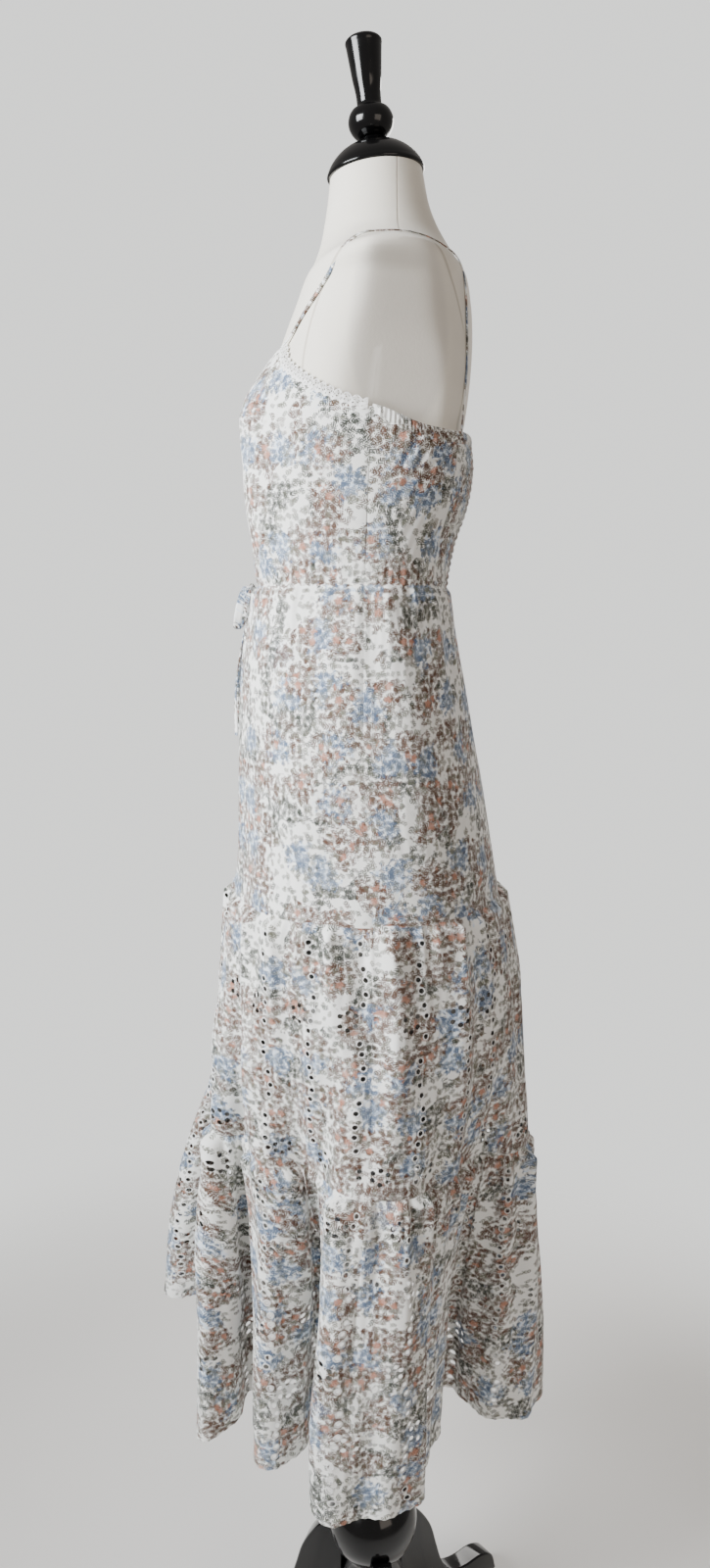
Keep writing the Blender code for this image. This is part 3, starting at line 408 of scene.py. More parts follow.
printedCotton = makePrintedCotton()
whiteCotton = makePlainCotton("whiteCotton", (0.86, 0.855, 0.83), 0.0008, 0.3)
laceCotton = makePlainCotton("laceCotton", (0.92, 0.915, 0.89), 0.0016, 0.7)
eyeletThread = makePlainCotton("eyeletThread", (0.84, 0.84, 0.82), 0.0009, 0.8)
ivoryLinen = makeLinen()
blackLacquer = makeLacquer()
steel = makeSteel()
print("materials made")

# height, half width, front, back, side's y, bust mound, power of the oval
formSections = [
    (1.06, 0.148, -0.12, 0.096, -0.012, 0.0, 2.3),
    (1.075, 0.16, -0.132, 0.1055, -0.012, 0.0, 2.3),
    (1.12, 0.1655, -0.138, 0.1075, -0.01, 0.0, 2.3),
    (1.18, 0.1605, -0.1365, 0.0975, -0.013, 0.0, 2.3),
    (1.24, 0.15, -0.135, 0.087, -0.014, 0.0, 2.3),
    (1.3, 0.1325, -0.1275, 0.074, -0.013, 0.0, 2.3),
    (1.345, 0.1205, -0.119, 0.0665, -0.012, 0.0, 2.3),
    (1.392, 0.1255, -0.121, 0.0745, -0.011, 0.008, 2.35),
    (1.423, 0.131, -0.123, 0.08, -0.01, 0.012, 2.4),
    (1.465, 0.1375, -0.121, 0.085, -0.008, 0.0165, 2.45),
    (1.49, 0.141, -0.12, 0.088, -0.007, 0.017, 2.45),
    (1.515, 0.1425, -0.118, 0.0925, -0.005, 0.0155, 2.4),
    (1.537, 0.144, -0.114, 0.0955, -0.003, 0.0115, 2.3),
    (1.554, 0.146, -0.11, 0.0973, -0.001, 0.006, 2.2),
    (1.575, 0.1495, -0.103, 0.099, 0.001, 0.0, 2.0),
    (1.6, 0.1565, -0.094, 0.0995, 0.005, 0.0, 1.85),
    (1.625, 0.165, -0.0835, 0.0975, 0.009, 0.0, 1.85),
    (1.648, 0.173, -0.0738, 0.0921, 0.011, 0.0, 1.85),
    (1.656, 0.152, -0.07, 0.0885, 0.012, 0.0, 1.8),
    (1.666, 0.124, -0.0655, 0.0845, 0.012, 0.0, 1.8),
    (1.678, 0.097, -0.061, 0.0785, 0.011, 0.0, 1.8),
    (1.69, 0.077, -0.0572, 0.0716, 0.009, 0.0, 1.85),
    (1.705, 0.064, -0.054, 0.063, 0.006, 0.0, 1.95),
    (1.725, 0.055, -0.0506, 0.0545, 0.002, 0.0, 2.0),
    (1.757, 0.049, -0.0475, 0.0464, 0.0, 0.0, 2.0),
]
bodiceSections = [
    (1.345, 0.128, -0.1265, 0.075, -0.012, 0.0, 2.3),
    (1.36, 0.1285, -0.1275, 0.077, -0.012, 0.003, 2.3),
    (1.392, 0.131, -0.127, 0.0835, -0.011, 0.01, 2.35),
    (1.423, 0.136, -0.1285, 0.094, -0.01, 0.013, 2.4),
    (1.465, 0.1425, -0.126, 0.1, -0.008, 0.017, 2.45),
    (1.49, 0.146, -0.126, 0.0975, -0.007, 0.0185, 2.45),
    (1.515, 0.1475, -0.126, 0.098, -0.005, 0.018, 2.4),
    (1.537, 0.149, -0.121, 0.101, -0.003, 0.0135, 2.3),
    (1.554, 0.151, -0.115, 0.1025, -0.001, 0.0065, 2.2),
    (1.575, 0.1545, -0.108, 0.104, 0.001, 0.0, 2.0),
    (1.6, 0.1615, -0.099, 0.1045, 0.005, 0.0, 1.85),
]
skirtSections = [
    (0.385, 0.18, -0.17, 0.17, 0.0, 0.0, 2.2),
    (0.738, 0.177, -0.17, 0.165, 0.0, 0.0, 2.2),
    (0.86, 0.18, -0.171, 0.159, 0.0, 0.0, 2.2),
    (0.94, 0.181, -0.165, 0.151, 0.0, 0.0, 2.2),
    (1.018, 0.18, -0.1535, 0.1345, -0.004, 0.0, 2.2),
    (1.06, 0.178, -0.1485, 0.1275, -0.006, 0.0, 2.25),
    (1.12, 0.175, -0.1475, 0.118, -0.01, 0.0, 2.3),
    (1.18, 0.17, -0.146, 0.107, -0.013, 0.0, 2.3),
    (1.24, 0.158, -0.143, 0.095, -0.014, 0.0, 2.3),
    (1.3, 0.141, -0.136, 0.082, -0.013, 0.0, 2.3),
    (1.345, 0.128, -0.1265, 0.075, -0.012, 0.0, 2.3),
]
# the hem from above, with its rise: round the back from the left side seam, then round the front
backHem = [
    (0.203, -0.03, -0.004), (0.198, 0.008, 0.0), (0.175, 0.042, 0.0), (0.112, 0.063, 0.006),
    (0.045, 0.073, 0.01), (0.018, 0.096, 0.008), (0.044, 0.124, 0.0), (0.057, 0.153, -0.004),
    (0.044, 0.183, -0.004), (0.01, 0.199, 0.0), (-0.022, 0.178, 0.008), (-0.038, 0.14, 0.01),
    (-0.064, 0.138, 0.006), (-0.09, 0.17, -0.004), (-0.122, 0.172, -0.004), (-0.138, 0.14, 0.002),
    (-0.116, 0.1, 0.01), (-0.118, 0.07, 0.008), (-0.16, 0.072, 0.0), (-0.198, 0.062, -0.004),
    (-0.203, 0.03, -0.002), (-0.16, 0.01, 0.008), (-0.145, -0.014, 0.008),
]
frontHem = [
    (-0.18, -0.03, 0.002), (-0.208, -0.05, -0.003), (-0.206, -0.088, -0.002),
    (-0.165, -0.11, 0.01), (-0.156, -0.136, 0.012), (-0.19, -0.165, 0.006),
    (-0.21, -0.215, 0.002), (-0.212, -0.265, 0.0), (-0.19, -0.286, 0.0), (-0.168, -0.262, 0.002),
    (-0.162, -0.22, 0.008), (-0.122, -0.184, 0.012), (-0.068, -0.17, 0.01),
    (-0.024, -0.168, 0.008), (0.018, -0.192, 0.0), (0.06, -0.208, -0.004),
    (0.088, -0.194, -0.004), (0.066, -0.164, 0.004), (0.026, -0.146, 0.01), (0.03, -0.124, 0.01),
    (0.078, -0.128, 0.002), (0.12, -0.131, -0.004), (0.133, -0.108, -0.004),
    (0.112, -0.084, 0.004), (0.074, -0.07, 0.01), (0.074, -0.05, 0.01), (0.125, -0.052, 0.004),
    (0.18, -0.062, -0.002), (0.204, -0.052, -0.004),
]
mounds = {"apart": 0.072, "half": 0.036}  # of the bust, from the middle
skirt = {
    "waistZ": 1.345,
    "seam1Z": 1.018,
    "seam2Z": 0.738,
    "hemZ": 0.385,
    "seam2Slope": -0.06,
    # height and share of the hem's folds
    "foldShares": [
        (0.385, 1.0), (0.488, 0.92), (0.61, 0.7), (0.738, 0.38), (0.805, 0.22), (0.9, 0.09),
        (1.018, 0.02), (1.1, 0.0), (1.345, 0.0),
    ],
    "wall": 0.0006,
    "seamGap": 0.0003,
    # each tier's top is tucked up and in under the edge above, which stands out over it
    "tuck": {"up": 0.0018, "down": 0.0004, "in": 0.0007, "out": 0.0005},
}


def smoothValue(knots, values, at):
    knots, values, at = (np.asarray(given, float) for given in (knots, values, at))
    slopes = np.gradient(values, knots)
    place = np.clip(np.searchsorted(knots, at) - 1, 0, len(knots) - 2)
    step = knots[place + 1] - knots[place]
    s = np.clip((at - knots[place]) / step, 0.0, 1.0)
    start = values[place] * (1 + 2 * s) + slopes[place] * step * s
    end = values[place + 1] * (3 - 2 * s) + slopes[place + 1] * step * (s - 1)
    return start * (1 - s) ** 2 + end * s * s


def ramp(value, low, high):
    s = np.clip((np.asarray(value, float) - low) / (high - low), 0.0, 1.0)
    return s * s * (3 - 2 * s)


def ovalPoint(sections, turn, z):
    columns = np.array(sections).T
    half, front, back, sideY, bust, power = (
        smoothValue(columns[0], column, z) for column in columns[1:]
    )
    cosine, sine = np.cos(turn), np.sin(turn)
    x = half * np.sign(cosine) * np.abs(cosine) ** (2 / power)
    reach = np.where(sine > 0, back - sideY, sideY - front)
    y = sideY + reach * np.sign(sine) * np.abs(sine) ** (2 / power)
    mound = bust * np.exp(-(((np.abs(x) - mounds["apart"]) / mounds["half"]) ** 2))
    return np.stack([x, y - np.where(sine < 0, mound, 0.0), z + 0 * turn], axis=-1)


def roundCurve(rows, parts):
    # a smooth closed line through the rows
    rows, line = [np.array(row) for row in rows], []
    for number in range(len(rows)):
        a, b, c, d = (rows[(number + step) % len(rows)] for step in (-1, 0, 1, 2))
        square, cube = 2 * a - 5 * b + 4 * c - d, 3 * b - a - 3 * c + d
        for s in np.linspace(0, 1, parts, endpoint=False):
            line.append(0.5 * (2 * b + (c - a) * s + square * s**2 + cube * s**3))
    return line


def alongLine(points):
    # the length from the first point to each
    steps = np.linalg.norm(np.diff(points, axis=0), axis=1)
    return np.concatenate([[0], np.cumsum(steps)])


def traceHem():
    parts = 12
    line = roundCurve(backHem + frontHem, parts)
    line = np.array(line + line[:1])
    length = alongLine(line[:, :2])
    sideSeams = [0.0, length[len(backHem) * parts], length[-1]]
    return np.interp(length, sideSeams, [0.0, 0.5, 1.0]), line


hemShares, hemLine = traceHem()


def skirtPoint(turn, z):
    share = np.mod(turn / (2 * math.pi), 1.0)
    hem = np.stack([np.interp(share, hemShares, column) for column in hemLine.T], axis=-1)
    folded = smoothValue(*zip(*skirt["foldShares"]), z)[..., None]
    point = ovalPoint(skirtSections, turn, z) * (1 - folded)
    point[..., :2] += hem[..., :2] * folded
    seams = [skirt["hemZ"], skirt["seam2Z"], skirt["seam1Z"]]
    slope = skirt["seam2Slope"] * np.interp(z, seams, [0.0, 1.0, 0.0])
    lift = hem[..., 2] * np.interp(z, seams[:2], [1.0, 0.0])
    point[..., 2] = z + slope * point[..., 1] + lift
    return point


bodicePoint = partial(ovalPoint, bodiceSections)


def outwardAt(surface, turn, z, turnStep=0.008, zStep=0.0015):
    across = surface(turn + turnStep, z) - surface(turn - turnStep, z)
    upward = surface(turn, z + zStep) - surface(turn, z - zStep)
    outward = np.cross(across, upward)
    return outward / np.linalg.norm(outward, axis=-1, keepdims=True)


def evenTurns(surface, first, last, z):
    # turns for even steps of length round the surface at one height, and that length
    turns = np.linspace(first, last, 400)
    length = alongLine(surface(turns, np.full_like(turns, z)))
    return length / length[-1], turns, length[-1]


def blendTurns(high, low, share, down):
    # down is 0 at the upper edge and 1 at the lower one
    return np.interp(share, *high[:2]) * (1 - down) + np.interp(share, *low[:2]) * down


def addObject(name, data):
    made = bpy.data.objects.new(name, data)
    bpy.context.scene.collection.objects.link(made)
    return made


def meshObject(name, bm, material):
    mesh = bpy.data.meshes.new(name)
    bm.to_mesh(mesh)
    bm.free()
    mesh.materials.append(material)
    return addObject(name, mesh)


def finishPiece(name, bm, material, moveToPole=True):
    if moveToPole:
        bmesh.ops.translate(bm, vec=Vector(poleAxis), verts=bm.verts)
    piece = meshObject(name, bm, material)
    piece.data.shade_smooth()
    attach(piece, "root")
    return piece


def addWall(piece, thickness, offset=-1.0):
    wall = piece.modifiers.new("wall", "SOLIDIFY")
    wall.thickness = thickness
    wall.offset = offset


def punchHoles(bm, size, counts, holes, radius, stretch):
    # ovals at the grid's corners nearest to the holes, and the places of those to be rimmed
    (width, length), (columns, rows) = size, counts

    def nearest(across, down):
        return round(across / width * columns), round(down / length * rows)

    def around(key):
        return [(key[0] + i, key[1] + j) for i in (0, -1, 1) for j in (0, -1, 1)]

    spots = {nearest(vertex.co.x, -vertex.co.y): vertex for vertex in bm.verts}
    picked = {}
    for across, down, rimmed in holes:
        key = nearest(across, down)
        beside = any(other in picked for other in around(key))
        if 1 < key[0] < columns - 1 and 1 < key[1] < rows - 1 and not beside:
            picked[key] = rimmed
    corners = [spots[key] for key in picked]
    cut = dict(offset_type="OFFSET", segments=2, profile=0.5, affect="VERTICES", material=-1)
    punched = bmesh.ops.bevel(bm, geom=corners, offset=radius, **cut)
    for vertex in punched["verts"]:  # the cut's corners are drawn out to an oval
        key = nearest(vertex.co.x, -vertex.co.y)
        near = [other for other in around(key) if other in picked]
        centres = [Vector((a * width / columns, -b * length / rows, 0.0)) for a, b in near]
        centre = min(centres, key=lambda spot: (spot - vertex.co).length)
        away = (vertex.co - centre).normalized()
        vertex.co = centre + Vector((away.x * radius * stretch, away.y * radius, 0.0))
    bmesh.ops.delete(bm, geom=punched["faces"], context="FACES")
    return [(a * width / columns, b * length / rows) for (a, b), rim in picked.items() if rim]


def clothGrid(size, step, place, holes=(), radius=0.0, stretch=1.0, spread=None, closed=False):
    # a flat cut with its eyelets punched, then carried onto the body by place(across, down)
    counts = [max(2, round(whole / part)) for whole, part in zip(size, step)]
    bm = bmesh.new()
    bmesh.ops.create_grid(bm, x_segments=counts[0], y_segments=counts[1], size=0.5)
    matrix = Matrix.Diagonal((*size, 1.0, 1.0)) @ Matrix.Translation((0.5, -0.5, 0.0))
    bmesh.ops.transform(bm, matrix=matrix, verts=bm.verts)
    if len(holes):
        holes = punchHoles(bm, size, counts, holes, radius, stretch)
    for edge in bm.edges:  # so that a wall's rim doesn't shade its face
        edge.smooth = not edge.is_boundary
    flat = np.array([vertex.co[:2] for vertex in bm.verts])
    uvLayer = bm.loops.layers.uv.new("cloth")
    loops, corners = [], []
    for face in bm.faces:
        middle = face.calc_center_median().x
        for loop in face.loops:
            loops.append(loop)
            corners.append((loop.vert.co.x, -loop.vert.co.y, middle))
    across, down, middle = np.array(corners).T
    printed = np.stack(spread(across, down, middle) if spread else (across, -down), axis=-1)
    for loop, spot in zip(loops, printed):
        loop[uvLayer].uv = spot
    for vertex, spot in zip(bm.verts, place(flat[:, 0], -flat[:, 1])):
        vertex.co = spot
    if closed:
        bmesh.ops.remove_doubles(bm, verts=bm.verts, dist=0.00005)
    return bm, holes


def eyeletRims(holes, place, radius, stretch):
    # a raised ring of satin stitch round each eyelet, all extruded together
    bm = bmesh.new()
    holeLayer = bm.verts.layers.int.new("hole")
    for number, (across, down) in enumerate(holes):
        matrix = Matrix.Translation((across, -down, 0.0))
        made = bmesh.ops.create_circle(bm, segments=10, radius=radius, matrix=matrix)
        for vertex in made["verts"]:
            vertex[holeLayer] = number
            vertex.co.x = across + (vertex.co.x - across) * stretch
    ring = list(bm.edges)
    for grow, rise in eyelets["rim"]:
        made = bmesh.ops.extrude_edge_only(bm, edges=ring)["geom"]
        ring = [item for item in made if isinstance(item, bmesh.types.BMEdge)]
        for vertex in (item for item in made if isinstance(item, bmesh.types.BMVert)):
            across, down = holes[vertex[holeLayer]]
            away = Vector(((vertex.co.x - across) / stretch, vertex.co.y + down))
            away = away.normalized() * (radius + grow)
            vertex.co = (across + away.x * stretch, away.y - down, rise)
    bmesh.ops.recalc_face_normals(bm, faces=bm.faces)
    uvLayer = bm.loops.layers.uv.new("cloth")
    for face in bm.faces:
        for loop in face.loops:
            loop[uvLayer].uv = loop.vert.co.xy
    flat = np.array([vertex.co[:] for vertex in bm.verts])
    for vertex, spot in zip(bm.verts, place(flat[:, 0], -flat[:, 1], flat[:, 2])):
        vertex.co = spot
    return bm


# print is the cloth's width on the body against its flat width, seen at the eyelets
tiers = [
    {"name": "skirt_tier_1", "top": "waistZ", "bottom": "seam1Z", "halfFlat": 0.560,
     "pleats": 42, "pleatDepth": 0.0036, "pleatHalf": 0.0042, "reach": (0.020, 0.110),
     "seamGroove": 0.0004, "puff": 0.0016, "soft": 0.0018, "print": 1.0,
     "rosettes": (), "chains": 0, "seed": 11},
    {"name": "skirt_tier_2", "top": "seam1Z", "bottom": "seam2Z", "halfFlat": 0.760,
     "pleats": 50, "pleatDepth": 0.0080, "pleatHalf": 0.0052, "reach": (0.025, 0.150),
     "seamGroove": 0.0003, "puff": 0.0036, "soft": 0.0046, "print": 0.82,
     "rosettes": (0.34, 0.91), "chains": 11, "seed": 23},
    {"name": "skirt_tier_3", "top": "seam2Z", "bottom": "hemZ", "halfFlat": 1.080,
     "pleats": 66, "pleatDepth": 0.0088, "pleatHalf": 0.0058, "reach": (0.025, 0.150),
     "seamGroove": 0.0009, "puff": 0.0036, "soft": 0.0046, "print": 0.85,
     "rosettes": (0.09, 0.27, 0.52, 0.74), "chains": 15, "seed": 37},
]
eyelets = {
    "radius": 0.0027,
    "ring": 0.0088,
    "backShift": -0.055,
    "chainPitch": 0.0125,
    "apart": 0.0075,
    "rim": ((0.0005, 0.0006), (0.0013, 0.0001)),  # growth and height of each ring of stitches
}


def tierRelief(tier, length):
    # ridges that start at the gathered seam and die away, over soft long folds, all round the body
    rng = np.random.default_rng(tier["seed"])
    draw = rng.uniform
    count, half = tier["pleats"] * 2, tier["halfFlat"]
    centres = (np.arange(count) + 0.5 + draw(-0.40, 0.40, count)) * 2 * half / count
    widths = tier["pleatHalf"] * draw(0.65, 1.6, count)
    depths = tier["pleatDepth"] * draw(0.25, 1.0, count) ** 1.3
    least, most = tier["reach"]
    reaches = least + (most - least) * draw(0, 1, count) ** 1.7
    leans = rng.normal(0.0, 0.045, count)
    fullTurn = 6.28

    def drawWave(pitches, drifts):
        folds = round(2 * half / draw(*pitches))
        return folds, draw(0, fullTurn), draw(*drifts), draw(0, fullTurn)

    # the soft waves draw a share besides
    waves = [(*drawWave((0.050, 0.150), (0.10, 0.30)), draw(0.5, 1.0)) for number in range(6)]
    fine = [drawWave((0.009, 0.017), (0.03, 0.09)) for number in range(4)]

    def relief(around, down):
        total = np.zeros_like(around)
        for centre, width, depth, reach, lean in zip(centres, widths, depths, reaches, leans):
            away = np.mod(around - centre - lean * down + half, 2 * half) - half
            ridge = np.exp(-((away / (width * (1 + down / 0.09))) ** 2))
            total += depth * ridge * np.exp(-((down / reach) ** 1.4))
        angle = math.pi * around / half
        for folds, phase, drift, start, share in waves:
            bend = 0.9 * np.sin(down / drift * 3 + start)
            total += share * tier["soft"] * 0.45 * np.cos(folds * angle + phase + bend)
        for folds, phase, drift, start in fine:
            bend = 1.2 * np.sin(down / drift * 3 + start)
            comb = np.cos(folds * angle + phase + bend) * np.sin(down / drift * 2 + phase)
            total += 0.00018 * comb
        total += tier["puff"] * ramp(down, 0.0, 0.014) * (1 - 0.6 * ramp(down, 0.05, length))
        atHem = tier["bottom"] == "hemZ"
        fromTop = 0.12 + 0.88 * ramp(down, 0.0, 0.010)
        fromBottom = 1.0 if atHem else 0.15 + 0.85 * ramp(length - down, 0.0, 0.012)
        fromSeam = np.abs(np.mod(around + half / 2, half) - half / 2)
        groove = tier["seamGroove"] * np.exp(-((fromSeam / 0.0016) ** 2))
        total = total * fromTop * fromBottom - groove
        if atHem:  # the hem's double cloth
            total += 0.0007 * ramp(length - down, 0.0105, 0.0085)
        return total

    return relief


def eyeletSpots(tier, side, length):
    # across, down and whether it gets a rim
    rng = np.random.default_rng(tier["seed"] + (50 if side == "front" else 70))
    ring, count, spots = eyelets["ring"], tier["chains"], []
    pitch = tier["halfFlat"] / count
    for number in range(count):
        column = (number + 0.5) * pitch + rng.uniform(-0.003, 0.003)
        column += eyelets["backShift"] if side == "back" else 0.0
        for row, share in enumerate(tier["rosettes"]):
            middle = column + (pitch / 2 if row % 2 else 0.0)
            for petal in range(6):
                turn = math.radians(60 * petal + 30)
                across = middle + ring / tier["print"] * math.cos(turn)
                spots.append((across, share * length + ring * math.sin(turn), False))
        down = 0.018
        while down < length - 0.012:
            wobble = 0.004 * math.sin(down / length * 19 + number)
            spots.append((column + pitch / 4 + wobble, down, True))
            down += eyelets["chainPitch"] * (1.0 if rng.uniform() < 0.85 else 1.8)
    kept = []
    for spot in spots:  # the rosettes come first, so a chain gives way to them
        if all(math.dist(spot[:2], other[:2]) > eyelets["apart"] for other in kept[-400:]):
            kept.append(spot)
    return kept


def makeTierHalf(tier, side):
    topZ, bottomZ = skirt[tier["top"]], skirt[tier["bottom"]]
    length, width = topZ - bottomZ, tier["halfFlat"]
    atHem, stretch = tier["bottom"] == "hemZ", 1.0 / tier["print"]
    relief = tierRelief(tier, length)
    firstTurn, start = (0.0, 0.0) if side == "back" else (math.pi, width)
    turnsAt = partial(evenTurns, skirtPoint, firstTurn, firstTurn + math.pi)
    topTurns, bottomTurns = turnsAt(topZ), turnsAt(bottomZ)
    tuck = skirt["tuck"]
    reach = length + tuck["up"] + (0.0 if atHem else tuck["down"])

    def place(across, down, lift=0.0):
        turn = blendTurns(topTurns, bottomTurns, across / width, down / length)
        z = topZ + tuck["up"] - reach * down / length
        under = -tuck["in"] * ramp(topZ - z, 0.0015, -0.0005)
        if not atHem:
            under = under + tuck["out"] * ramp(length - down, 0.010, 0.0)
        out = relief(start + across, down) + under + lift
        point = skirtPoint(turn, z) + outwardAt(skirtPoint, turn, z) * out[..., None]
        if atHem:
            scallop = 0.0016 * np.abs(np.sin(across * math.pi / 0.011))
            point[..., 2] += scallop * ramp(length - down, 0.008, 0.0)
            point[..., 2] += 0.002 * ramp(length - down, 0.02, 0.0)
        return point

    levels = np.linspace(0, 1, 9)
    spans = [turnsAt(topZ - length * level)[2] for level in levels]

    def spread(across, down, middle):
        # the print starts at the side seams and widens with the tier, so that it isn't drawn
        # out of shape
        away = np.where(middle < width / 2, across, across - width)
        scale = (np.interp(down / length, levels, spans) / width) ** 0.8
        near = (middle < width / 2) == (side == "back")
        return away * scale + np.where(near, 0.0, 3.1) + 0.7 * tier["seed"], tier["seed"] - down

    holes = eyeletSpots(tier, side, length) if tier["chains"] else ()
    cell = (0.0031, 0.0036)
    radius = eyelets["radius"]
    bm, holes = clothGrid((width, length), cell, place, holes, radius, stretch, spread)
    piece = finishPiece(f"{tier['name']}_{side}_cloth", bm, printedCotton)
    addWall(piece, skirt["wall"])
    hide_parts(f"{tier['name']}_{side}")
    rims = []
    if holes:
        rimMesh = eyeletRims(holes, place, radius, stretch)
        rims = [finishPiece(f"{tier['name']}_{side}_eyelets", rimMesh, eyeletThread)]
    print(tier["name"], side, len(holes), "eyelets")


for tier in tiers:
    for side in ("back", "front"):
        makeTierHalf(tier, side)

lining = {
    "wall": 0.0005,
    "hemZ": 0.775,
    "halfFlat": 0.530,
    "insets": [
        (0.775, 0.012), (0.82, 0.01), (0.92, 0.007), (1.018, 0.0052), (1.1, 0.0048),
        (1.1815, 0.0048), (1.247, 0.0048), (1.325, 0.0046), (1.345, 0.0026),
    ],
}


def makeLining():
    length = skirt["waistZ"] - lining["hemZ"]
    width = lining["halfFlat"] * 2

    def place(across, down):
        turn = across / width * 2 * math.pi
        z = skirt["waistZ"] - skirt["seamGap"] - (length - skirt["seamGap"]) * down / length
        inset = smoothValue(*zip(*lining["insets"]), z)
        return skirtPoint(turn, z) - outwardAt(skirtPoint, turn, z) * inset[..., None]

    bm = clothGrid((width, length), (0.0065, 0.009), place, closed=True)[0]
    piece = finishPiece("skirt_lining_cloth", bm, whiteCotton)
    addWall(piece, lining["wall"])
    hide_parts("skirt_lining_back", "skirt_lining_front")


makeLining()
print("skirt made")


bodice = {
    "wall": 0.0008,
    "offForm": 0.0003,
    # heights at which the turns are spread evenly
    "lowZ": 1.365,
    "highZ": 1.470,
    # turn from the wearer's left side and height of the top edge
    "topEdge": [
        (90.0, 1.4955), (60.0, 1.493), (40.0, 1.491), (20.0, 1.4945), (0.0, 1.509),
        (-8.0, 1.5145), (-25.0, 1.53), (-45.0, 1.552), (-60.0, 1.572), (-66.0, 1.564),
        (-76.0, 1.533), (-90.0, 1.505),
    ],
    "casing": 0.012,
    "smockedTurn": 48.0,
    "rowPitch": 0.0068,
    "dart": {
        "turn": -47.0, "lean": -90.0, "low": 1.350, "high": 1.428, "depth": 0.0021, "half": 1.6
    },
}


def topEdge(turn):
    folded = np.abs((np.asarray(turn, float) + 90.0) % 360.0 - 180.0)
    rows = sorted((90.0 - t, z) for t, z in bodice["topEdge"])
    return smoothValue([row[0] for row in rows], [row[1] for row in rows], folded)


def makeBodicePiece(node, first, last, upper, lower, relief, step, squeeze):
    # upper and lower give the edges' heights for turns in degrees
    radians = np.radians([first, last])
    lowTurns = evenTurns(bodicePoint, *radians, bodice["lowZ"])
    highTurns = evenTurns(bodicePoint, *radians, bodice["highZ"])
    width = (lowTurns[2] + highTurns[2]) / 2
    samples = np.linspace(first, last, 60)
    heights = upper(samples) - lower(samples)
    length = float(np.max(heights))

    def turnAt(across, down):
        return np.degrees(blendTurns(highTurns, lowTurns, across / width, down / length))

    def heightAt(turn, down):
        return upper(turn) + (lower(turn) - upper(turn)) * down / length

    def place(across, down):
        turn = turnAt(across, down)
        z, angle = heightAt(turn, down), np.radians(turn)
        fromSide = np.minimum(turn - first, last - turn)
        height = relief(turn, z, down / length) * ramp(fromSide, 0.0, 2.5)
        height -= 0.0003 * np.exp(-((fromSide / 0.5) ** 2))
        outward = outwardAt(bodicePoint, angle, z)
        return bodicePoint(angle, z) + outward * (height + bodice["offForm"])[..., None]

    start = -width if last >= 360.0 else first * 0.0023

    def spread(across, down, middle):
        return (start + across) * squeeze, heightAt(turnAt(across, down), down)

    bm = clothGrid((width, length), step, place, spread=spread)[0]
    piece = finishPiece(f"{node}_cloth", bm, printedCotton)
    addWall(piece, bodice["wall"])
    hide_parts(node)


def waistLine(turn):
    return np.full_like(np.asarray(turn, float), skirt["waistZ"] - 0.0006)


def underLace(turn):
    return topEdge(turn) - 0.0022


def casingFoot(turn):
    return topEdge(turn) - bodice["casing"]


def underCasing(turn):
    return casingFoot(turn) + 0.001


def ripple(place, pitch, phase=0.0):
    return np.sin(place / pitch * 2 * math.pi + phase)


def hump(place, middle, half):
    return np.exp(-(((place - middle) / half) ** 2))


def frontRelief(turn, z, down):
    mirrored = np.where(turn > 270.0, turn - 360.0, 180.0 - turn)
    dart, above = bodice["dart"], z - skirt["waistZ"]
    groove = hump(mirrored, dart["turn"] + dart["lean"] * (z - dart["low"]), dart["half"])
    groove *= ramp(z, dart["low"] - 0.01, dart["low"] + 0.02)
    groove *= ramp(z, dart["high"], dart["high"] - 0.03)
    gathers = ripple(mirrored, 5.1, 0.4) + 0.7 * ripple(mirrored, 3.3, 2.0)
    creases = ripple(above, 0.0115, 0.05 * mirrored + 1.3 * ripple(mirrored, 37.0))
    drag = ripple(z + mirrored * 0.0011, 0.021) * hump(mirrored, -22.0, 13.0)
    return (
        0.0006 * gathers * np.exp(-above / 0.022)
        + 0.0007 * creases * hump(above, 0.018, 0.013)
        + 0.0010 * drag * hump(z, 1.43, 0.035)
        + 0.0007 * hump(mirrored, 0.0, 1.3)
        - dart["depth"] * groove
    )


def sideRelief(turn, z, down):
    mirrored = np.where(turn < 90.0, turn, 180.0 - turn)
    under = casingFoot(turn) - z
    puckers = ripple(mirrored, 3.7) + 0.6 * ripple(mirrored, 2.3, 1.0)
    slant = ripple(mirrored * 0.0024 + under * 0.55, 0.017) * ramp(mirrored, 2.0, 18.0)
    low = ripple(mirrored, 4.4, 1.1) * np.exp(-(z - skirt["waistZ"]) / 0.02)
    puckers = 0.0008 * puckers * np.exp(-under / 0.012)
    return puckers + 0.0016 * slant * np.exp(-under / 0.05) + 0.0007 * low


def smockedRelief(turn, z, down):
    phase = (z - skirt["waistZ"]) / bodice["rowPitch"]
    puff = np.abs(np.sin(phase * math.pi))
    wobble = np.sin(np.floor(phase) * 12.9898) * 3.0  # each row's own shift
    small = ripple(turn, 1.35, wobble) + 0.6 * ripple(turn, 0.83, wobble * 1.7)
    first = bodice["smockedTurn"]
    edges = ramp(np.minimum(turn - first, 180.0 - first - turn), 0.0, 1.5)
    return (0.0011 * puff + 0.00045 * small * (0.35 + 0.65 * puff)) * edges


def casingRelief(turn, z, down):
    body = np.sin(np.clip(down, 0, 1) * math.pi) ** 0.5
    gathers = ripple(turn, 1.9, 0.8 * np.sin(turn * 0.31)) + 0.5 * ripple(turn, 1.13)
    return 0.0009 * body + 0.00055 * gathers * (0.4 + 0.6 * body)


